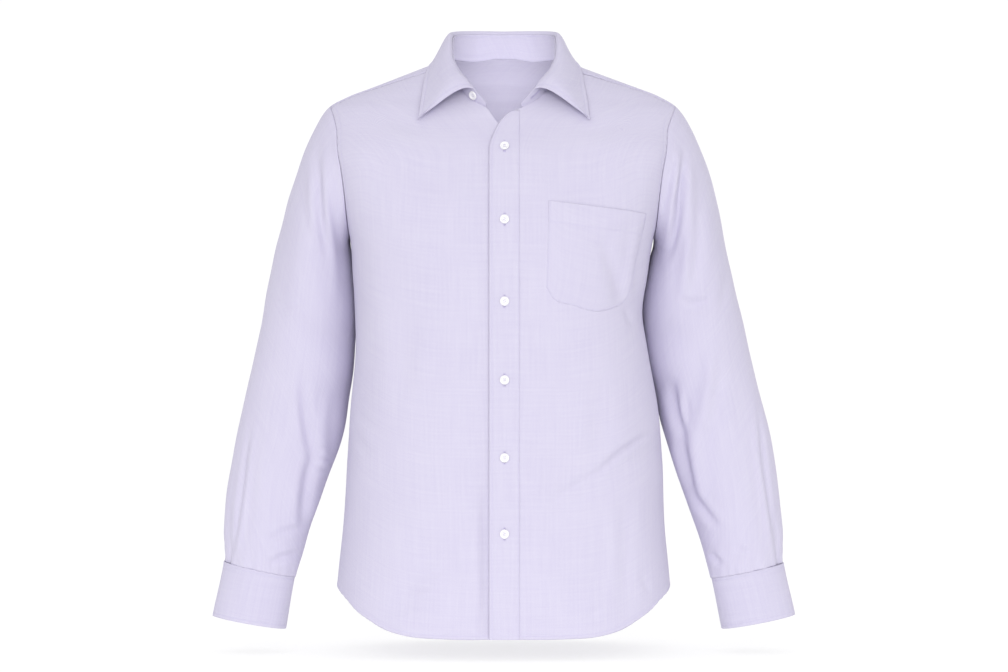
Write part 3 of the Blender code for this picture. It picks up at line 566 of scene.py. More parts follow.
def threads(starts, ends, outward, radius=THREAD_RADIUS, lift=1.0, sides=5):
    """Points and faces of short bent threads from starts to ends: rings of the tabled thickness, arched above
    the cloth by the tabled height."""
    along = unit(ends - starts)
    beside = unit(np.cross(along, outward))
    above = np.cross(beside, along)
    middle, length = (starts + ends) / 2, np.linalg.norm(ends - starts, axis=-1)
    place, thick, high = THREAD_RINGS.T
    turn = np.linspace(0, 2 * math.pi, sides, endpoint=False)
    centre = (middle[:, None] + (place[None, :, None] * length[:, None, None]) * along[:, None]
              + (high * radius * lift)[None, :, None] * above[:, None])
    round_it = (np.cos(turn)[None, None, :, None] * beside[:, None, None]
                + np.sin(turn)[None, None, :, None] * above[:, None, None])
    ring = round_it * (thick * radius)[None, :, None, None]
    points = centre[:, :, None] + ring
    one, _, _ = grid_faces(len(place), sides, -1, closed=True)
    faces = (one[None] + np.arange(len(starts))[:, None, None] * len(place) * sides).reshape(-1, 4)
    return points.reshape(-1, 3), faces


def sew(name, lines, stitch=STITCH, radius=THREAD_RADIUS):
    """Rows of lock stitch: each line is cut into equal stitches with a small gap between them."""
    starts, ends, outs = [], [], []
    for points, outward in lines:
        walked = lengths(points, 0)
        count = max(1, int(walked[-1] / (stitch + STITCH_GAP)))
        begin = (np.arange(count) + 0.1) * walked[-1] / count
        for store, at in ((starts, begin), (ends, begin + stitch)):
            store.append(np.stack([np.interp(at, walked, points[:, axis]) for axis in range(3)], -1))
        outs.append(np.stack([np.interp(begin, walked, outward[:, axis]) for axis in range(3)], -1))
    points, faces = threads(np.concatenate(starts), np.concatenate(ends), np.concatenate(outs), radius)
    piece = mesh_piece(name, points, faces, THREAD)
    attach(piece, "root")
    return piece


def edge_heights():
    """Heights of the fronts' rows along their free edges, from the hem to the stand's end."""
    to_armpit, to_opening, to_stand, _ = EDGE_ROWS
    bottom = hem_z(0.0)
    rise = bottom + closer(to_armpit, start=0.7) * (ARMHOLE_FOOT_Z - bottom)
    chest = np.linspace(ARMHOLE_FOOT_Z, OPENING_Z, to_opening + 1)
    parted = np.linspace(OPENING_Z, OPENING[-1, 0], to_stand + 1)
    return np.concatenate((rise, chest[1:], parted[1:]))


def side_seam(side):
    """Points up the side of the body, from the hem to the armpit."""
    heights = SIDE_HEM_Z + closer(EDGE_ROWS[0], start=0.7) * (ARMHOLE_FOOT_Z - SIDE_HEM_Z)
    return body(np.full_like(heights, 90.0 * side), heights)


def front_surface(side):
    """A front's grid on the body: columns from the free edge round to the side, rows from the hem up."""
    heights = edge_heights()[:-1]
    free_x = read(OPENING, OPENING_COLUMNS, "left_x" if side > 0 else "right_x", heights)
    neck = neck_seam(side * np.linspace(1.0, COLLAR_YOKE, EDGE_ROWS[3] + 1))
    inner = np.concatenate((on_front(free_x, heights), neck))
    turns = np.linspace(180, YOKE_TURN_FRONT, sum(EDGE_ROWS[1:]) + 1)
    outer = np.concatenate((side_seam(side), armhole(turns[1:], side)))
    across = closer(FRONT_COLUMNS, start=0.7, end=0.4)
    start = angle_of(inner[:1])[0]
    angles = start + (90.0 * side - start) * across
    hem = body(angles, hem_z(angles))
    hem[0], hem[-1] = inner[0], outer[0]
    up = np.linspace(0, 1, len(inner))
    points = seat(grid_between(hem, front_yoke_seam(side, across), inner, outer, across, up))
    return body(angle_of(points), points[..., 2])


def make_front(name, side):
    """A front: its grid eased into the armhole, then raised along its normals by the creases, the turned hem
    and the grooves of its stitches. The right one passes behind the left one."""
    points = front_surface(side)
    across_it = lengths(points, 1)
    above_armpit = ramp(points[..., 2], *ABOVE_ARMPIT)
    beside_arm = np.exp(-((across_it[:, -1:] - across_it) / EASING) ** 2)
    turns = np.linspace(180, YOKE_TURN_FRONT, sum(EDGE_ROWS[1:]) + 1)
    points[EDGE_ROWS[0]:, :, 2] += shoulder_lift(turns)[:, None] * beside_arm[EDGE_ROWS[0]:]
    points = relaxed(points, above_armpit * beside_arm)
    outward = facing(points, side)
    from_hem, from_edge = lengths(points, 0), lengths(points, 1)
    from_side, from_yoke = from_edge[:, -1:] - from_edge, from_hem[-1:] - from_hem
    rise = (creases(points, outward, FRONT_CREASES) * ramp(from_side, 0, 12)
            + rumple(points, 1.5) * ramp(from_side, 0, 40))
    rise += (folded_edge(from_hem, HEM_FOLD) + ditch(from_hem, HEM_STITCH)
             + pucker(from_edge, from_hem, 0.4, 11, 9))
    rise += pucker(from_hem, from_side, 0.25 + 0.05 * above_armpit) - 0.25 * np.exp(-from_side / 1.2)
    rise -= 0.4 * np.exp(-from_yoke / 1.6)
    rise += ditch(from_side, ARM_STITCH, 0.25) * above_armpit
    if side < 0:
        rise -= DIP * ramp(points[..., 0], -44, -20) * ramp(-points[..., 2], 52, 66)
    points = points + rise[..., None] * outward
    outward = facing(points, side)
    front = cloth(name, points, name, side)
    hem_line = inset(points, outward, "first_row", HEM_STITCH)
    arm_line = [part[EDGE_ROWS[0] + ARM_STITCH_START:]
                for part in inset(points, outward, "last_column", ARM_STITCH)]
    thread = sew(f"stitches_{name}", (hem_line, arm_line))
    return points, outward


front_left, left_out = make_front("front_left", 1)
front_right, right_out = make_front("front_right", -1)

# ---- The back ----
# One layer of the same cotton from side seam to side seam, sewn under the yoke. Its tail hangs a little lower
# than the fronts', and it takes soft diagonal folds at the waist as the fronts do.

BACK_CREASES = (
    (-176, -446, -96, -490, 3, 6, -2.2),
    (-150, -430, -84, -462, 3, 12, 1.4),
    (178, -462, 84, -498, -3, 6, -2.0),
    (160, -420, 92, -446, -3, 13, 1.4),
    (-96, -120, -120, -330, 6, 18, -1.2),
    (92, -110, 124, -320, -6, 18, -1.1),
    (-30, -180, -24, -430, 3, 22, 1.0),
    (36, -200, 30, -420, -3, 22, -0.8),
    (-140, -540, -128, -680, -3, 11, -1.2),
    (146, -520, 132, -690, 3, 12, 1.1),
    (-60, -560, -66, -700, 3, 15, 0.9),
    (50, -540, 56, -700, 2, 13, -0.9),
    (-176, -150, -140, -240, 4, 10, -1.5),
    (176, -150, 142, -236, -4, 10, -1.4),
    (-120, -660, -84, -640, 2, 5, -0.8),
    (90, -668, 122, -648, 2, 5, -0.8),
)
BACK_COLUMNS, BACK_ARM_ROWS = 168, 38


def back_yoke_seam(across):
    """The level seam from armhole to armhole, at shares of the angle between them."""
    ends = angle_of(armhole(np.full(2, YOKE_TURN_BACK), np.array((1, -1)))) % 360
    angles = ends[0] + across * (ends[1] - ends[0])
    return body(angles, np.full_like(angles, YOKE_BACK_Z))


def make_back():
    """The back, laid out by angle and height from side seam to side seam and up to the yoke."""
    turns = np.linspace(180, YOKE_TURN_BACK, BACK_ARM_ROWS + 1)[1:]
    left, right = (np.concatenate((side_seam(side), armhole(turns, side))) for side in (1, -1))
    across = closer(BACK_COLUMNS, start=0.4, end=0.4)
    angles = 90 + 180 * across
    hem = body(angles, hem_z(angles))
    edges = [np.stack((angle_of(edge) % 360, edge[:, 2]), -1)
             for edge in (hem, back_yoke_seam(across), left, right)]
    angle, z = np.moveaxis(grid_between(*edges, across, np.linspace(0, 1, len(left))), -1, 0)
    points = seat(body(angle, z))
    points = body(angle_of(points), points[..., 2])
    across_it = lengths(points, 1)
    from_side = np.minimum(across_it, across_it[:, -1:] - across_it)
    points = relaxed(points, ramp(points[..., 2], *ABOVE_ARMPIT) * np.exp(-(from_side / EASING) ** 2))
    outward = facing(points)
    from_hem, across_it = lengths(points, 0), lengths(points, 1)
    from_side = np.minimum(across_it, across_it[:, -1:] - across_it)
    from_yoke = from_hem[-1:] - from_hem
    rise = (creases(points, outward, BACK_CREASES, face=1) * ramp(from_side, 0, 12)
            + rumple(points, 1.3) * ramp(from_side, 0, 40))
    rise += (folded_edge(from_hem, HEM_FOLD) + ditch(from_hem, HEM_STITCH)
             + pucker(across_it, from_hem, 0.4, 11, 9))
    rise += pucker(from_hem, from_side, 0.3) - 0.25 * np.exp(-from_side / 1.2)
    rise += pucker(across_it, from_yoke, 0.3) - 0.4 * np.exp(-from_yoke / 1.6)
    rise += ditch(from_side, ARM_STITCH, 0.25) * ramp(points[..., 2], *ABOVE_ARMPIT)
    points = points + rise[..., None] * outward
    outward = facing(points)
    back = cloth("back", points, "back")
    arm_lines = [[part[EDGE_ROWS[0] + ARM_STITCH_START:] for part in inset(points, outward, edge, ARM_STITCH)]
                 for edge in ("first_column", "last_column")]
    thread = sew("stitches_back", [inset(points, outward, "first_row", HEM_STITCH), *arm_lines])


make_back()

# ---- The yoke ----
# The piece over both shoulders and round the back of the neck, cut double in a real shirt. Its folded edges
# lie over the fronts and the back and are stitched twice, close to the fold and a little further in.

YOKE_ROWS, YOKE_SHOULDER, YOKE_NECK = 56, 44, 66
YOKE_FOLD = 7.5
YOKE_STITCHES = (1.8, 6.8)  # the two rows, in from its folded edges


def make_yoke():
    """The yoke: rows from the back seam to the shoulder and neck, columns from the left to the right."""
    side_share = closer(YOKE_SHOULDER, start=0.4)
    left, right = (front_yoke_seam(side, side_share) for side in (1, -1))
    neck = neck_seam(np.linspace(COLLAR_YOKE, -COLLAR_YOKE, YOKE_NECK + 1))
    front = np.concatenate((left[::-1][:-1], neck, right[1:]))
    turns = YOKE_TURN_BACK - 360 + (YOKE_TURN_FRONT + 360 - YOKE_TURN_BACK) * closer(YOKE_ROWS, 0.6, 0.6)
    across, up = np.linspace(0, 1, len(front)), closer(YOKE_ROWS, 0.6, 0.6)
    grid = grid_between(armhole(turns, 1), armhole(turns, -1), back_yoke_seam(across), front,
                        up, across)
    points = seat(grid.swapaxes(0, 1))
    points = body(angle_of(points), points[..., 2])
    across_it = lengths(points, 1)
    from_arm = np.minimum(across_it, across_it[:, -1:] - across_it)
    points[..., 2] += shoulder_lift(turns)[:, None] * np.exp(-(from_arm / EASING) ** 2)
    points = relaxed(points, np.exp(-(from_arm / EASING) ** 2))
    outward = facing(points)
    across_it, up_it = lengths(points, 1), lengths(points, 0)
    from_back, from_front = up_it, up_it[-1:] - up_it
    from_arm = np.minimum(across_it, across_it[:, -1:] - across_it)
    shoulder = ramp(np.abs(points[..., 0]), 68, 74)
    rise = rumple(points, 0.8) + folded_edge(from_back, YOKE_FOLD)
    rise += ditch(from_back, YOKE_STITCHES[0]) + ditch(from_back, YOKE_STITCHES[1])
    rise += (folded_edge(from_front, YOKE_FOLD, 0.4) + ditch(from_front, YOKE_STITCHES[0], 0.3)
             + ditch(from_front, YOKE_STITCHES[1], 0.3)
             + pucker(across_it, from_front, 0.16)) * shoulder
    rise += ditch(from_arm, ARM_STITCH, 0.25) + pucker(up_it, from_arm, 0.15) - 0.25 * np.exp(-from_arm / 1.2)
    points = points + rise[..., None] * outward
    outward = facing(points)
    yoke = cloth("yoke", points, "yoke")
    lines = [inset(points, outward, "first_row", reach) for reach in YOKE_STITCHES]
    lines += [inset(points, outward, edge, ARM_STITCH) for edge in ("first_column", "last_column")]
    for reach in YOKE_STITCHES:
        line = inset(points, outward, "last_row", reach)
        lines += [[part[:YOKE_SHOULDER + 1] for part in line], [part[-YOKE_SHOULDER - 1:] for part in line]]
    thread = sew("stitches_yoke", lines)


make_yoke()

# ---- The button band ----
# A folded strip sewn over the left front's free edge from the hem to the stand. A row of stitches holds each
# side of it, and its free edge stands off the right front and throws a thin shadow.

BUTTON_X, BAND_HALF = 0.6, 18.5
BAND_LIFT = 1.25  # how high the band's face stands over the left front
BAND_COLUMNS = 22
BAND_FREE_STITCH, BAND_SEWN_STITCH = 4.4, 1.8
BUTTON_HEIGHTS = (-99.0, -189.0, -288.0, -383.0, -477.0, -569.0)


def make_band():
    """The band: rows up the front's free edge, columns from that edge across to the outer row of stitches."""
    heights = edge_heights()[:-1]
    inner = read(OPENING, OPENING_COLUMNS, "left_x", heights)
    across = closer(BAND_COLUMNS, 0.6, 0.6)
    x = inner[:, None] + across * (BUTTON_X + BAND_HALF - inner)[:, None]
    points = on_front(x, np.repeat(heights[:, None], len(across), 1))
    points = body(angle_of(points), points[..., 2])
    outward = facing(points)
    across_it, up_it = lengths(points, 1), lengths(points, 0)
    from_free, from_sewn = across_it, across_it[:, -1:] - across_it
    rise = BAND_LIFT + creases(points, outward, FRONT_CREASES) * ramp(from_free, 0, 20) + rumple(points)
    rise += (ditch(from_free, BAND_FREE_STITCH, 0.3) + ditch(from_sewn, BAND_SEWN_STITCH, 0.3)
             - 0.75 * np.exp(-from_sewn / 0.8))
    rise += pucker(up_it, np.minimum(from_free, from_sewn), 0.2, 8.0, 5.0)
    rise -= 1.5 * np.exp(-from_free / 0.6)
    rise += 0.5 * ramp(-points[..., 2], 480, 660) * np.exp(-from_free / 9)
    points = points + rise[..., None] * outward
    points[:, 0, 0] -= 0.5
    outward = facing(points)
    band = cloth("front_placket", points, "front_placket")
    thread = sew("stitches_front_placket", (inset(points, outward, "first_column", BAND_FREE_STITCH),
                                            inset(points, outward, "last_column", BAND_SEWN_STITCH)))
    return points, outward


band_points, band_out = make_band()

# ---- The chest pocket ----
# A patch with a pointed foot and softened corners on the left front. Its mouth is a deep turned hem, and it
# is sewn down close to the edge, with a small bar of stitches at each side of the mouth.

POCKET_TOP = ((54.0, -166.0), (174.0, -180.5))
POCKET_FOOT = np.array(((51, -271), (60, -285.5), (85, -294), (112, -300.5), (134, -296), (147, -290.5),
                        (153, -283)), float)
POCKET_HEM = 26.0
POCKET_LIFT = 0.75
POCKET_STITCH, POCKET_BAR = 1.8, 4.6  # the row round the edge, and the bars beside the mouth
POCKET_BAR_STARTS = (124, 94)  # how far up each side its bar starts


def make_pocket():
    """The pocket seen from the front as a grid between its foot, mouth and sides, laid on the body."""
    run = lengths(POCKET_FOOT, 0)
    across, up = closer(46, 0.7, 0.7), closer(52, 0.7, 0.7)
    foot = np.stack([flow(across * run[-1], run, POCKET_FOOT[:, k]) for k in (0, 1)], -1)
    top, bottom = np.array(POCKET_TOP), foot[[0, -1]]
    mouth = top[0] + across[:, None] * (top[1] - top[0])
    sides = [bottom[k] + up[:, None] * (top[k] - bottom[k]) for k in (0, 1)]
    plan = grid_between(foot, mouth, *sides, across, up)
    points = on_front(plan[..., 0], plan[..., 1])
    points = body(angle_of(points), points[..., 2])
    outward = facing(points)
    across_it, up_it = lengths(points, 1), lengths(points, 0)
    from_side = np.minimum(across_it, across_it[:, -1:] - across_it)
    from_mouth = up_it[-1:] - up_it
    from_sewn = np.minimum(from_side, up_it)
    rise = POCKET_LIFT + creases(points, outward, FRONT_CREASES) + rumple(points)
    rise += 0.7 * ramp(from_sewn, 2, 22) * ramp(from_mouth, 60, 5) - 0.75 * np.exp(-from_sewn / 0.7)
    rise += ditch(from_sewn, POCKET_STITCH, 0.3) + pucker(up_it + across_it, from_sewn, 0.22, 8.0, 5.0)
    rise += 0.3 * ramp(from_mouth, POCKET_HEM + 1.2, POCKET_HEM - 0.6) + ditch(from_mouth, POCKET_HEM, 0.3)
    rise -= 0.4 * np.exp(-from_mouth / 0.7)
    points = points + rise[..., None] * outward
    outward = facing(points)
    pocket = cloth("pocket", points, "pocket")
    lines = [inset(points, outward, edge, POCKET_STITCH) for edge in ("first_column", "last_column")]
    lines += [trim_ends(inset(points, outward, edge, reach), 2, 2)
              for edge, reach in (("first_row", POCKET_STITCH), ("last_row", POCKET_HEM))]
    lines += [trim_ends(inset(points, outward, edge, POCKET_BAR), start, 0)
              for edge, start in zip(("first_column", "last_column"), POCKET_BAR_STARTS)]
    thread = sew("stitches_pocket", [line for line in lines if len(line[0]) > 1])


make_pocket()

# ---- The collar stand ----
# A firm band, two layers with an interlining between, sewn to the neck seam and rounded off at its front
# ends. A row of stitches runs close to each of its edges.

FIRM_WALL = 1.2
FIRM_WARP, FIRM_WEFT = (0.545, 0.510, 0.678, 1), (0.650, 0.626, 0.748, 1)
FIRM_COTTON = cloth_material("lavender cotton over interlining", FIRM_WARP, FIRM_WEFT)
COLLAR_COLUMNS = ("along", "x", "y", "z")
STAND_TOP = np.array(((0.00, 0.0, 60.0, 52.0), (0.18, 39.0, 50.0, 51.5), (0.32, 60.0, 24.0, 48.0),
                      (0.43, 64.0, -4.0, 42.0), (0.53, 64.5, -28.0, 28.0), (0.62, 63.0, -46.0, 13.0),
                      (0.70, 57.0, -60.0, -1.0), (0.80, 46.5, -71.5, -14.0), (0.88, 37.0, -76.0, -27.0),
                      (1.00, 21.0, -77.0, -45.0)), float)
LEAF_EDGE = np.array(((0.00, 0.0, 79.0, 13.0), (0.18, 47.0, 69.0, 13.0), (0.32, 76.0, 43.0, 13.0),
                      (0.43, 89.0, 15.0, 12.5), (0.53, 94.5, -7.0, 7.5), (0.62, 98.0, -26.5, -4.5),
                      (0.70, 100.5, -51.0, -24.0), (0.80, 105.0, -88.0, -62.5), (0.88, 105.0, -88.0, -62.5),
                      (1.00, 105.0, -88.0, -62.5)), float)
STAND_ALONG, STAND_UP = 196, 20


def collar_line(rows, along):
    """The stand's top or the leaf's edge at places along the collar, negative on the right."""
    x, y, z = (read(rows, COLLAR_COLUMNS, axis, np.abs(along)) for axis in "xyz")
    return np.stack((np.sign(along) * x, y, z), -1)


def make_stand():
    """The stand: straight lines from the neck seam to its top, a little full in the middle."""
    along = 1 - 2 * closer(STAND_ALONG, 0.3, 0.3)[::-1]
    share = closer(STAND_UP, 0.5, 0.5)[:, None, None]
    foot, top = neck_seam(along), collar_line(STAND_TOP, along)
    points = foot * (1 - share) + share * top
    outward = facing(points, -1)
    from_foot, run = lengths(points, 0), lengths(points, 1)
    from_top = from_foot[-1:] - from_foot
    from_end = np.minimum(run, run[:, -1:] - run)
    rise = ditch(from_foot, 1.8, 0.2) + ditch(np.minimum(from_top, from_end), 2.0, 0.2)
    rise += pucker(run, from_foot, 0.12, 7, 4) + pucker(run, from_top, 0.12, 7, 4)
    rise -= 0.4 * np.exp(-np.minimum(from_end, from_top) / 0.7)
    points = points + rise[..., None] * outward
    outward = facing(points, -1)
    stand = cloth("collar_stand", points, "collar_stand", -1, wall=FIRM_WALL, material=FIRM_COTTON)
    inner = points - FIRM_WALL * outward
    lines = [inset(points, outward, "first_row", 1.8), inset(inner, -outward, "first_row", 1.8),
             inset(inner, -outward, "last_row", 2.4)]
    for edge in ("first_column", "last_column"):
        lines += [inset(points, outward, edge, 2.0), inset(inner, -outward, edge, 2.0)]
    thread = sew("stitches_collar_stand", lines)
    return points, outward


stand_points, stand_out = make_stand()

# ---- The collar leaf ----
# The part that shows: two layers over an interlining, turned out and pressed, sewn between the stand's layers
# and rolled over it to two points. Stitches run 6 mm inside its free edges, and its edge is full and rounded.

LEAF_END = 0.88
LEAF_ALONG, LEAF_DOWN = 210, 52
LEAF_STITCH = 6.0


def leaf_surface(along, share):
    """The leaf: it leaves the stand's top upwards, rolls over, and falls to its edge, each line down it a
    cubic with its own start and end directions; the roll grows softer to the front."""
    start, end = collar_line(STAND_TOP, along), collar_line(LEAF_EDGE, along)
    away = unit((end - start) * (1, 1, 0))
    forward = ramp(np.abs(along), 0.4, LEAF_END)
    leave = (away * (26 + 32 * forward)[..., None]
             + np.stack((0 * along, -14 * forward, 58 - 34 * forward), -1))
    land = (end - start) * 0.9 + away * 4
    t = share[..., None]
    return (start * (1 + 2 * t) * (1 - t) ** 2 + leave * t * (1 - t) ** 2
            + end * t * t * (3 - 2 * t) - land * t * t * (1 - t))


def make_leaf():
    """The leaf: rows from the stand's top down to the edge, raised along its normals by the stitched groove
    and the full edge outside it."""
    along, share = np.meshgrid(LEAF_END * (2 * closer(LEAF_ALONG, 0.6, 0.6) - 1),
                               closer(LEAF_DOWN, 0.2, 0.75) ** 1.2)
    points = leaf_surface(along, share)
    outward = facing(points)
    down, run = lengths(points, 0), lengths(points, 1)
    from_edge, from_end = down[-1:] - down, np.minimum(run, run[:, -1:] - run)
    free = np.minimum(from_edge, from_end)
    rise = ditch(free, LEAF_STITCH, 0.3) + 0.25 * ramp(free, LEAF_STITCH, 1.5) - 0.5 * np.exp(-free / 0.7)
    rise += pucker(run + down, np.abs(free - LEAF_STITCH), 0.12, 7.0, 4.0)
    rise += 0.3 * np.sin(run / 17 + down / 13) * ramp(down, 6, 20)
    points = points + rise[..., None] * outward
    outward = facing(points)
    leaf = cloth("collar_leaf", points, "collar_leaf", wall=FIRM_WALL, material=FIRM_COTTON)
    lines = [trim_ends(inset(points, outward, "last_row", LEAF_STITCH), 6, 6),
             trim_ends(inset(points, outward, "first_column", LEAF_STITCH), 2, 6),
             trim_ends(inset(points, outward, "last_column", LEAF_STITCH), 2, 6)]
    thread = sew("stitches_collar_leaf", lines)


make_leaf()

# ---- The sleeves ----
# Each is one panel closed by a seam under the arm, set into the armhole and gathered into the cuff in two
# pleats. The arm's bend at the elbow breaks it into a deep fold with small ones beside it.

SLEEVE_OUT = 0.4
CUFF_STEP = 9.0
SLIT_TURNS = (301.0, 271.0)  # the slit's strip reaches from one to the other
RING_COLUMNS = ("step", "outer_x", "outer_z", "inner_x", "inner_z", "mid_y", "half_depth")
# Rings from the armpit to the cuff's seam, then the cuff's edge: outer and inner point seen from the front,
# the place of the middle from front to back, and half the depth.
RIGHT_RINGS = np.array((
    (1, 281, -203, 190, -231, 20, 76),
    (2, 294, -255, 185.3, -279, 27, 74),
    (3, 306, -315, 186, -336, 28, 68),
    (4, 317.5, -370, 188.5, -391, 28, 62),
    (5, 328, -422, 199, -442, 21, 56),
    (6, 339, -475, 216, -493, 12, 51),
    (7, 346.5, -525, 232, -542, 2, 47.5),
    (8, 350, -570, 247, -588, -6, 44),
    (9, 349, -610, 260, -629.5, -12, 37),
    (10, 363, -677.5, 271, -694, -16, 33),
), float)
LEFT_RINGS = np.array((
    (1, 276, -203, 183.8, -231, 20, 76),
    (2, 287, -255, 173, -279, 28, 74),
    (3, 301, -315, 175, -336, 30, 68),
    (4, 313.5, -370, 185, -391, 29, 62),
    (5, 326, -422, 197.5, -442, 21, 56),
    (6, 337, -475, 214, -493, 12, 51),
    (7, 343.5, -525, 231, -542, 2, 47.5),
    (8, 347, -570, 246, -588, -6, 44),
    (9, 348.5, -612, 258, -631, -12, 37),
    (10, 362.5, -676, 270.5, -694, -16, 33),
), float)
# The broad folds, in order: step, turn, half steps, half turn, depth.
SLEEVE_FOLDS = (
    (3.0, 120, 0.45, 42, 5.0),
    (4.3, 150, 0.50, 46, 5.0),
    (3.6, 240, 0.50, 50, 4.0),
    (5.6, 70, 0.55, 38, 3.5),
    (8.3, 30, 1.20, 10, 3.0),
    (8.3, 345, 1.10, 10, 2.5),
)
# Creases seen from the front, then from behind, in order: from x, from z, to x, to z, bow, half width, rise.
RIGHT_CREASES = (
    (-231, -96, -214, -252, 3, 5.5, -3.8),
    (-220, -138, -208, -280, 3, 7, 2.3),
    (-240, -120, -232, -210, 2, 6, 1.2),
    (-282, -297, -246, -288, 3, 4.5, -1.4),
    (-249, -380, -236, -486, 3, 6.5, -4.6),
    (-236, -472, -249, -570, 3, 7, -4.1),
    (-222, -400, -224, -500, 2, 7, 1.9),
    (-232, -466, -213, -469, 1, 3.2, -1.2),
    (-231, -479, -214, -484, 1, 3.2, -1.2),
    (-231, -494, -217, -499, 1, 3.2, -1.1),
    (-292, -582, -249, -568, -3, 5.5, -2.0),
    (-290, -612, -250, -601, -4, 5.5, -2.4),
    (-300, -470, -296, -590, 2, 12, 1.1),
    (-316, -440, -339, -606, -2, 3.4, -1.9),
    (-311, -452, -332, -606, -2, 4.5, 1.1),
    (-270, -200, -286, -330, -3, 13, -1.1),
)
LEFT_CREASES = (
    (214, -104, 202, -176, -2, 4.5, 2.4),
    (222, -106, 204, -230, -3, 5, -5.0),
    (230, -130, 218, -290, -3, 7, 2.3),
    (242, -150, 236, -280, -2, 8, -1.2),
    (219, -284, 254, -284, 5, 4.5, -2.6),
    (277, -240, 270, -300, 0, 6, -1.2),
    (258, -340, 235, -470, -4, 9, 3.0),
    (235, -440, 240, -540, -3, 9, 2.4),
    (209, -386, 224, -458, 3, 6, -4.6),
    (219, -448, 238, -534, 2, 6.5, -4.9),
    (226, -404, 229, -440, 0, 4, -2.0),
    (232, -522, 266, -566, 2, 5.5, -3.5),
    (256, -598, 270, -614, 0, 4.5, -2.4),
    (284, -590, 303, -597, 0, 4, -1.5),
    (316, -410, 340, -606, 2, 3.4, -1.9),
    (311, -440, 333, -606, 2, 4.5, 1.1),
    (256, -406, 268, -397, 0, 4, -1.2),
    (290, -300, 306, -480, 4, 14, -0.9),
)
RIGHT_BEHIND = (
    (-222, -120, -210, -270, 3, 8, -2.0),
    (-262, -330, -214, -372, -4, 7, -2.4),
    (-286, -384, -220, -410, -4, 7, -2.2),
    (-300, -430, -232, -452, -3, 7, -1.8),
    (-262, -476, -300, -560, 3, 8, -1.3),
    (-290, -200, -300, -330, 3, 12, 1.0),
)
LEFT_BEHIND = (
    (216, -116, 206, -260, -3, 8, -2.0),
    (266, -322, 212, -366, 4, 7, -2.5),
    (288, -380, 216, -402, 4, 7, -2.1),
    (304, -440, 230, -462, 3, 7, -1.8),
    (250, -486, 292, -566, -3, 8, -1.4),
    (282, -190, 300, -320, -3, 12, 1.0),
)
# The armhole in three stretches, in order: from turn, to turn, columns.
ARM_TURNS = ((YOKE_TURN_FRONT, 180, 58), (180, YOKE_TURN_BACK, 46),
             (YOKE_TURN_BACK, YOKE_TURN_FRONT + 360, 34))
HEAD_ROWS, SLEEVE_ROWS = 52, 148


def ring(turn, step, rows, side):
    """Point of a sleeve ring: an oval between its outer and inner points, as deep as the table says."""
    outer_x, outer_z, inner_x, inner_z, mid_y, half_depth = (
        read(rows, RING_COLUMNS, name, step) for name in RING_COLUMNS[1:])
    lap = np.radians(turn)
    x = side * ((outer_x + inner_x) / 2 + np.cos(lap) * (outer_x - inner_x) / 2)
    z = (outer_z + inner_z) / 2 + np.cos(lap) * (outer_z - inner_z) / 2
    return np.stack((x, mid_y - np.sin(lap) * half_depth, z), -1)


def sleeve(turn, step, rows, side):
    """Point of a sleeve. Below the armpit it runs through the rings. Above, each line leaves the armhole
    outward and down, steeper under the arm, and lands on the first ring along the sleeve."""
    turn, step = np.broadcast_arrays(np.asarray(turn, float), np.asarray(step, float))
    tube = ring(turn, np.maximum(step, 1), rows, side)
    over = ((1 + np.cos(np.radians(turn))) / 2)[..., None]
    start = armhole(turn, side) + (1 - over) * (side * SLEEVE_OUT, 0, 0)
    start[..., 2] += shoulder_lift(turn)
    end = ring(turn, np.ones_like(step), rows, side)
    leave = over * (side * 90, 0, -80) + (1 - over) * (side * 6, 0, -26)
    down = ring(turn, np.full_like(step, 1.2), rows, side) - end
    land = unit(down) * np.linalg.norm(end - start, axis=-1, keepdims=True)
    t = np.clip(step, 0, 1)[..., None]
    head = (start * (1 + 2 * t) * (1 - t) ** 2 + leave * t * (1 - t) ** 2
            + end * t * t * (3 - 2 * t) - land * t * t * (1 - t))
    points = np.where(step[..., None] < 1, head, tube)
    middle = np.where(step[..., None] < 1, (end + ring(turn + 180, np.ones_like(step), rows, side)) / 2,
                      (tube + ring(turn + 180, np.maximum(step, 1), rows, side)) / 2)
    sink = np.zeros_like(turn)
    for at_step, at_turn, half_steps, half_turn, depth in SLEEVE_FOLDS:
        away = (turn - at_turn + 180) % 360 - 180
        sink += depth * np.exp(-((step - at_step) / half_steps) ** 2 - (away / half_turn) ** 2)
    return points + sink[..., None] * unit(middle - points)


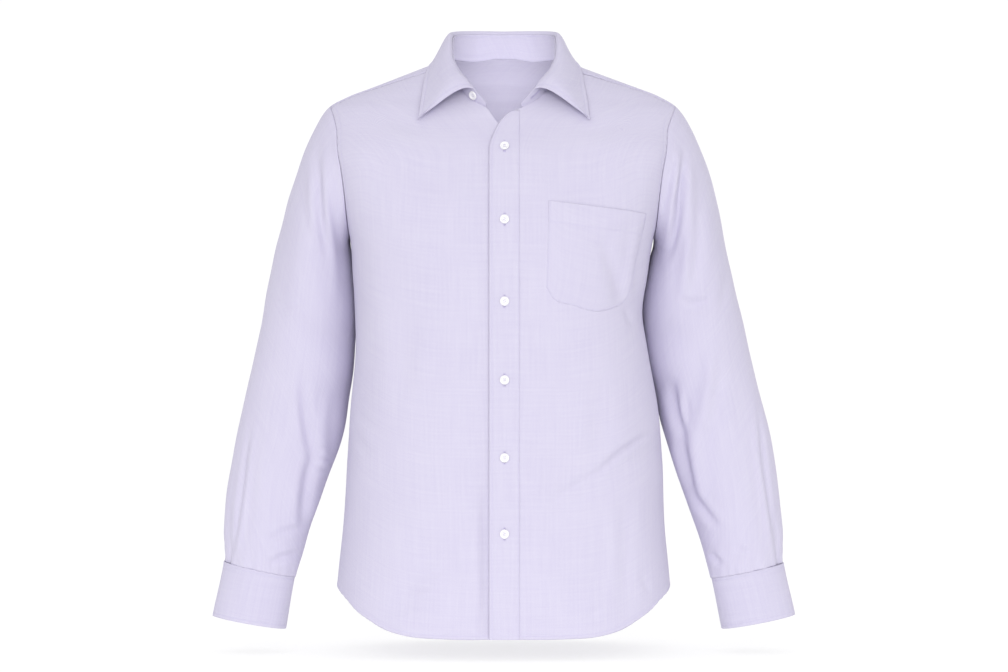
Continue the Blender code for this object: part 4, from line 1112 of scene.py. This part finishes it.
def make_sleeve(name, rows, side, seen, hidden):
    """A sleeve, closed round, from the armhole to the cuff."""
    turns = np.concatenate([np.linspace(start, end, count + 1)[:-1] for start, end, count in ARM_TURNS])
    steps = np.concatenate((np.linspace(0, 1, HEAD_ROWS + 1)[:-1],
                            1 + (CUFF_STEP - 1) * closer(SLEEVE_ROWS, 0, 0.5)))
    turn, step = np.meshgrid(turns, steps)
    points = sleeve(turn, step, rows, side)
    outward = facing(points, side, closed=True)
    down = lengths(points, 0)
    run = lengths(np.concatenate((points, points[:, :1]), 1), 1)[:, :-1]
    from_arm, from_cuff = down, down[-1:] - down
    under = np.abs((turn - 205 + 180) % 360 - 180) * run[:, -1:] / 360
    rise = (creases(points, outward, seen) + creases(points, outward, hidden, face=1)
            + rumple(points, 2.0)) * ramp(from_arm, 0, 9)
    rise += pucker(run, from_arm, 0.3, 12, 12) - 0.25 * np.exp(-from_arm / 1.2)
    beside_slit = ramp(np.abs(turn - sum(SLIT_TURNS) / 2), 15, 28)
    rise += beside_slit * (pucker(run, from_cuff, 0.7, 15, 22) + pucker(run, from_cuff, 0.25, 6.5, 9))
    rise -= 0.2 * np.exp(-from_cuff / 1.5)
    rise += pucker(down, under, 0.25, 9, 5) - 0.3 * np.exp(-(under / 1.2) ** 2)
    points = points + rise[..., None] * outward
    outward = facing(points, side, closed=True)
    piece = cloth(name, points, name, side, closed=True)
    seam = np.argmin(under[0])
    beside_seam = [grid[HEAD_ROWS // 3:, (seam + 2) % points.shape[1]] for grid in (points, outward)]
    thread = sew(f"stitches_{name}", [beside_seam])
    return points, outward


right_sleeve = make_sleeve("sleeve_right", RIGHT_RINGS, -1, RIGHT_CREASES, RIGHT_BEHIND)
left_sleeve = make_sleeve("sleeve_left", LEFT_RINGS, 1, LEFT_CREASES, LEFT_BEHIND)

# ---- The sleeve plackets ----
# A strip folded over the slit at the back of each sleeve, from the cuff up to a point. Stitches run round its
# edges and cross it under the point.

SLIT_TOP = 5.67
SLIT_TIP = 0.27
STRIP_LIFT = 1.25


def make_sleeve_placket(name, rows, side, hidden):
    """The strip: rows from its point down to the cuff, columns across it."""
    across = closer(16, 0.4, 0.4)
    top = SLIT_TOP - SLIT_TIP * (1 - np.abs(2 * across - 1))
    share = closer(64, 0.6, 0)[:, None]
    step = top * (1 - share) + CUFF_STEP * share
    turn = np.broadcast_to(SLIT_TURNS[0] + across * (SLIT_TURNS[1] - SLIT_TURNS[0]), step.shape)
    points = sleeve(turn, step, rows, side)
    outward = facing(points, -side)
    over, down = lengths(points, 1), lengths(points, 0)
    free = np.minimum(np.minimum(over, over[:, -1:] - over), down)
    rise = STRIP_LIFT + creases(points, outward, hidden, face=1) + ditch(free, 2.0, 0.2)
    rise += pucker(down, free, 0.15, 8, 4) - 0.7 * np.exp(-free / 0.7)
    points = points + rise[..., None] * outward
    outward = facing(points, -side)
    strip = cloth(name, points, name, -side)
    crossing = [grid[12] for grid in (points, outward)]
    lines = [inset(points, outward, edge, 2.0) for edge in ("first_row", "first_column", "last_column")]
    thread = sew(f"stitches_{name}", lines + [crossing])
    return points, outward


right_strip = make_sleeve_placket("sleeve_placket_right", RIGHT_RINGS, -1, RIGHT_BEHIND)
left_strip = make_sleeve_placket("sleeve_placket_left", LEFT_RINGS, 1, LEFT_BEHIND)

# ---- The cuffs ----
# A firm band once round the wrist, its back end lapped over its front end and held by one button. Stitches
# run just inside the seam to the sleeve, the ends and the lower edge.

CUFF_EDGE_STEP = 10.0
CUFF_LAP = 30.0  # degrees that the ends lap over each other
CUFF_RISE = 1.9
CUFF_SEAM_STITCH, CUFF_EDGE_STITCH = 3.6, 4.4
CUFF_END = 15  # degrees from the slit to the cuff's outer end
CUFF_FOLDS = ((0.30, 100, 0.9, 16, -0.7), (0.75, 140, 0.6, 12, 0.5), (0.55, 60, 0.7, 14, -0.5),
              (0.40, 200, 0.8, 18, -0.7), (0.60, 310, 0.8, 15, 0.6), (0.35, 20, 0.8, 11, 0.5))


def cuff_surface(turn, share, rows, side):
    """Point of a cuff between its seam and its edge; its lapping end rides out over the other."""
    step = CUFF_STEP + share * (CUFF_EDGE_STEP - CUFF_STEP)
    point = ring(turn, step, rows, side)
    middle = (point + ring(turn + 180, step, rows, side)) / 2
    walked = SLIT_TURNS[0] - CUFF_END - turn
    over = CUFF_RISE * ramp(walked, 285, 345)
    return point + over[..., None] * unit(point - middle)


def make_cuff(name, rows, side):
    """A cuff: rows from the sleeve's seam down, columns once round and over the lap."""
    turn, share = np.meshgrid(SLIT_TURNS[0] - CUFF_END - (360 + CUFF_LAP) * closer(170, 0.5, 0.5),
                              closer(40, 0.5, 0.6))
    points = cuff_surface(turn, share, rows, side)
    outward = facing(points, -side)
    down, run = lengths(points, 0), lengths(points, 1)
    from_edge = down[-1:] - down
    free = np.minimum(np.minimum(down, from_edge), np.minimum(run, run[:, -1:] - run))
    rise = ditch(down, CUFF_SEAM_STITCH, 0.3)
    rise += ditch(np.minimum(from_edge, run[:, -1:] - run), CUFF_EDGE_STITCH, 0.22)
    rise += pucker(run, down, 0.25, 8, 7) + pucker(run, from_edge, 0.15, 8, 6) - 0.4 * np.exp(-free / 0.8)
    rise += 0.2 * np.exp(-down / 0.8)
    for at_share, at_turn, half_share, half_turn, depth in CUFF_FOLDS:
        away = (turn - at_turn + 180) % 360 - 180
        rise += depth * np.exp(-((share - at_share) / half_share) ** 2 - (away / half_turn) ** 2) * (
            1 - ramp(run, run[:, -1:] - 45, run[:, -1:] - 25)) * ramp(run, 20, 45)
    points = points + rise[..., None] * outward
    outward = facing(points, -side)
    cuff = cloth(name, points, name, -side, wall=FIRM_WALL, material=FIRM_COTTON)
    lines = [inset(points, outward, edge, reach) for edge, reach in (
        ("first_row", CUFF_SEAM_STITCH), ("last_row", CUFF_EDGE_STITCH), ("last_column", CUFF_EDGE_STITCH))]
    thread = sew(f"stitches_{name}", lines)
    return points, outward


right_cuff = make_cuff("cuff_right", RIGHT_RINGS, -1)
left_cuff = make_cuff("cuff_left", LEFT_RINGS, 1)

# ---- The buttons ----
# White shirt buttons with a raised rim and four holes, each sewn on with two bars of thread. The collar's is
# set beside the leaf; the sleeve plackets' are smaller.

BUTTON_PROFILE = np.array(((0.0, 1.5), (2.9, 1.45), (3.5, 1.6), (4.1, 2.2), (4.6, 2.38), (5.1, 2.3),
                           (5.6, 1.85), (5.75, 1.4), (5.6, 0.7), (5.1, 0.3), (3.2, 0.0),
                           (0.0, 0.0)), float)  # distance from the middle, height
BUTTON_ROUND, BUTTON_OUT = 60, 36
HOLE_AT, HOLE_RADIUS, HOLE_DEPTH = 1.15, 0.62, 1.25
SMALL_BUTTON = 0.8
BUTTON_SEAT = 0.3  # how far its back stands off the cloth
BUTTON_TILTS = (8, -14, 20, -5, 11, -9)
BAR_HALF = 0.16  # half the space between the two threads of a bar
COLLAR_BUTTON_ALONG = -0.86
GAUNTLET_STEP = 7.6
HOLE_HALF = 7.0  # half the length of a buttonhole
HOLE_SPREAD = 0.75


def button_material():
    """Polished white resin with a faint cloud in it."""
    material, tree, shader = shaded("white button resin")
    place = wire(tree, "ShaderNodeTexCoord", {}).outputs["Object"]
    cloud = wire(tree, "ShaderNodeTexNoise", {"Vector": place, "Scale": 260.0, "Detail": 3.0}).outputs[0]
    colour = wire(tree, "ShaderNodeMix", {0: cloud, 6: (0.80, 0.79, 0.83, 1), 7: (0.90, 0.89, 0.91, 1)},
                  data_type="RGBA").outputs[2]
    rough = wire(tree, "ShaderNodeMapRange", {0: cloud, 3: 0.22, 4: 0.36}).outputs[0]
    tree.links.new(colour, shader.inputs["Base Color"])
    tree.links.new(rough, shader.inputs["Roughness"])
    shader.inputs["Coat Weight"].default_value = 0.3
    shader.inputs["Coat Roughness"].default_value = 0.1
    return material


RESIN = button_material()


def frame_at(outward, tilt):
    """Two directions across a face, the first turned from level by the tilt in degrees."""
    level = unit(np.cross((0.0, 0.0, 1.0), outward))
    upward = np.cross(outward, level)
    c, s = math.cos(math.radians(tilt)), math.sin(math.radians(tilt))
    return c * level + s * upward, c * upward - s * level


def make_button(name, place, outward, tilt=0.0, scale=1.0):
    """A button: its profile turned once round, with four holes sunk in its face, and two bars of thread."""
    walked = np.concatenate(((0,), np.cumsum(np.hypot(*np.diff(BUTTON_PROFILE, axis=0).T))))
    at = np.linspace(0, walked[-1], BUTTON_OUT)
    radius, height = (np.interp(at, walked, BUTTON_PROFILE[:, k]) for k in (0, 1))
    radius[0] = radius[-1] = 0.02
    turn = np.linspace(0, 2 * math.pi, BUTTON_ROUND, endpoint=False)
    u, v = radius[:, None] * np.cos(turn), radius[:, None] * np.sin(turn)
    from_hole = np.hypot(np.abs(u) - HOLE_AT, np.abs(v) - HOLE_AT)
    top = (at < walked[-1] * 0.3)[:, None]
    high = height[:, None] - top * HOLE_DEPTH * (1 - ramp(from_hole, HOLE_RADIUS - 0.18, HOLE_RADIUS + 0.06))
    first, second = frame_at(outward, tilt)
    base = place + BUTTON_SEAT * outward
    points = base + scale * (u[..., None] * first + v[..., None] * second + high[..., None] * outward)
    faces = grid_faces(*points.shape[:2], -1, closed=True)[0]
    flat = points.reshape(-1, 3)
    button = mesh_piece(f"{name}_shown", flat, faces, RESIN)
    holes = np.array(((-1, -1), (1, -1), (-1, 1), (1, 1))) * HOLE_AT
    seats = base + scale * (holes[:, :1] * first + holes[:, 1:] * second + 1.55 * outward)
    both = np.repeat(outward[None], 4, 0)
    apart = scale * np.array((-BAR_HALF, BAR_HALF, -BAR_HALF, BAR_HALF))[:, None] * second
    starts, ends = seats[[0, 0, 2, 2]] + apart, seats[[1, 1, 3, 3]] + apart
    bars = mesh_piece(f"thread_{name}", *threads(starts, ends, both, 0.2 * scale, 1.2, 8), THREAD)
    for piece in (button, bars):
        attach(piece, "root")
    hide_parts(name)


def touch(surface, x, z):
    """Points and normals on a grid at places seen from the front: the nearest grid point's own plane."""
    points, outward = (grid.reshape(-1, 3) for grid in surface)
    x, z = np.broadcast_arrays(np.asarray(x, float), np.asarray(z, float))
    nearest = np.argmin(np.hypot(points[:, 0] - x.reshape(-1, 1), points[:, 2] - z.reshape(-1, 1)), 1)
    spot, out = points[nearest], outward[nearest]
    y = spot[:, 1] - (out[:, 0] * (x.ravel() - spot[:, 0]) + out[:, 2] * (z.ravel() - spot[:, 2])) / out[:, 1]
    return np.stack((x.ravel(), y, z.ravel()), -1), out


def make_buttonhole(name, centre, outward, along):
    """A buttonhole: two rows of close stitches over its slit's lips and a bar across each end."""
    beside = unit(np.cross(outward, along))
    place = np.arange(-HOLE_HALF, HOLE_HALF + 0.01, 0.36)[:, None]
    rows = []
    for sign in (-1, 1):
        middle = centre + place * along + sign * HOLE_SPREAD * beside + 0.1 * outward
        rows.append((middle - 0.6 * sign * beside, middle + 0.6 * beside * sign))
    for sign in (-1, 1):
        ends = centre + sign * (HOLE_HALF + np.linspace(-0.4, 0.7, 4)[:, None]) * along + 0.25 * outward
        rows.append((ends - 1.4 * beside, ends + 1.4 * beside))
    starts, ends = (np.concatenate([row[k] for row in rows]) for k in (0, 1))
    points, faces = threads(starts, ends, np.repeat(outward[None], len(starts), 0), 0.19, 0.8)
    piece = mesh_piece(name, points, faces, THREAD)
    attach(piece, "root")


for number, height in enumerate(BUTTON_HEIGHTS, 1):
    (spot,), (out,) = touch((band_points, band_out), BUTTON_X, height)
    make_button(f"button_front_{number}", spot, out, tilt=BUTTON_TILTS[number - 1])
    up = unit(np.cross(out, np.cross((0.0, 0.0, 1.0), out)))
    make_buttonhole(f"buttonhole_front_{number}", spot, out, up)


def stand_seat(along, share):
    """A place on the stand's outer face, its normal and the direction along it."""
    column = int(round((along + 1) / 2 * (STAND_ALONG - 1)))
    row = int(round(share * (STAND_UP - 1)))
    level = unit(stand_points[row, column + 1] - stand_points[row, column - 1])
    return stand_points[row, column], stand_out[row, column], level


seat_at, seat_out, _ = stand_seat(COLLAR_BUTTON_ALONG, 0.5)
make_button("button_collar", seat_at, seat_out, tilt=12)
seat_at, seat_out, seat_along = stand_seat(-COLLAR_BUTTON_ALONG, 0.5)
make_buttonhole("buttonhole_collar", seat_at, seat_out, seat_along)


def grid_seat(surface, row_share, column_share):
    """A place on a grid by its shares down and across, its normal, and the direction across."""
    points, outward = surface
    row, column = (int(round(share * (count - 1))) for share, count in
                   zip((row_share, column_share), points.shape[:2]))
    return points[row, column], outward[row, column], unit(points[row, column + 1] - points[row, column - 1])


for hand, cuff_grid, strip_grid in (("right", right_cuff, right_strip), ("left", left_cuff, left_strip)):
    spot, out, along = grid_seat(cuff_grid, 0.5, 1 - CUFF_LAP / 2 / (360 + CUFF_LAP))
    make_button(f"button_cuff_{hand}", spot, out, tilt=7)
    make_buttonhole(f"buttonhole_cuff_{hand}", spot, out, along)
    spot, out, along = grid_seat(strip_grid, (GAUNTLET_STEP - SLIT_TOP) / (CUFF_STEP - SLIT_TOP), 0.5)
    make_button(f"button_gauntlet_{hand}", spot, out, tilt=-6, scale=SMALL_BUTTON)

# ---- The room ----
# Not part of the shirt: a plain white floor and backdrop in one sweep, soft light from all round, a weak lamp
# in the neck that brings up the cloth inside it, and a level camera in front.

FLOOR_Z = -722.0
FLOOR_FRONT, WALL_START, BEND, WALL_TOP, FLOOR_HALF = -700, 2500, 900, 6000, 7000


def make_floor():
    """A floor that bends up into a wall far behind: a quarter circle rounds the corner."""
    turn = np.linspace(0.1, math.pi / 2, 12)
    flat = np.linspace(FLOOR_FRONT, WALL_START, 18)
    depth = np.concatenate((flat, WALL_START + BEND * np.sin(turn), (WALL_START + BEND,)))
    height = np.concatenate((0 * flat, BEND * (1 - np.cos(turn)), (WALL_TOP,)))
    x = np.linspace(-FLOOR_HALF, FLOOR_HALF, 15)
    points = np.stack((np.broadcast_to(x, (len(depth), len(x))),
                       np.broadcast_to(depth[:, None], (len(depth), len(x))),
                       FLOOR_Z + np.broadcast_to(height[:, None], (len(depth), len(x)))), -1)
    material, _, shader = shaded("white sweep")
    shader.inputs["Base Color"].default_value = (0.30, 0.30, 0.30, 1)
    shader.inputs["Roughness"].default_value = 0.9
    shader.inputs["Emission Color"].default_value = (1, 1, 1, 1)
    shader.inputs["Emission Strength"].default_value = 0.72
    floor = mesh_piece("floor", points, grid_faces(*points.shape[:2])[0], material)


make_floor()

CHEST, NECK_BACK = (0, 0, -330), (0, 80, -55)
# Round soft lamps, in order: name, place, what it is aimed at, width, power in watts.
LAMPS = (
    ("front", (0, -4300, 500), CHEST, 2400, 66),
    ("key", (-1500, -3600, 1100), CHEST, 2600, 14),
    ("fill", (1900, -3400, 500), CHEST, 2600, 8),
    ("inside the neck", (0, -45, -48), NECK_BACK, 80, 0.085),
)
for lamp_name, place, aim, size, power in LAMPS:
    light = bpy.data.lights.new(lamp_name, "AREA")
    light.shape, light.size, light.energy = "DISK", size * MM, power
    lamp = bpy.data.objects.new(lamp_name, light)
    lamp.location = Vector(place) * MM
    lamp.rotation_euler = (Vector(aim) * MM - lamp.location).to_track_quat("-Z", "Y").to_euler()
    lamp.visible_camera = False
    bpy.context.scene.collection.objects.link(lamp)

world = bpy.data.worlds.new("room")
world.use_nodes = True
world.node_tree.nodes["Background"].inputs["Color"].default_value = (1, 1, 1, 1)
world.node_tree.nodes["Background"].inputs["Strength"].default_value = 0.75
bpy.context.scene.world = world
bpy.context.scene.view_settings.view_transform = "Standard"

SENSOR_WIDTH, LENS = 36.0, 114.3
CAMERA_AWAY = 4000.0  # in front of the shirt's middle plane, at the height of the chest
eye = bpy.data.cameras.new("camera")
eye.sensor_width, eye.lens = SENSOR_WIDTH, LENS
camera = bpy.data.objects.new("camera", eye)
camera.location = Vector((0, -CAMERA_AWAY, CHEST[2])) * MM
camera.rotation_euler = (math.pi / 2, 0, 0)
bpy.context.scene.collection.objects.link(camera)
bpy.context.scene.camera = camera
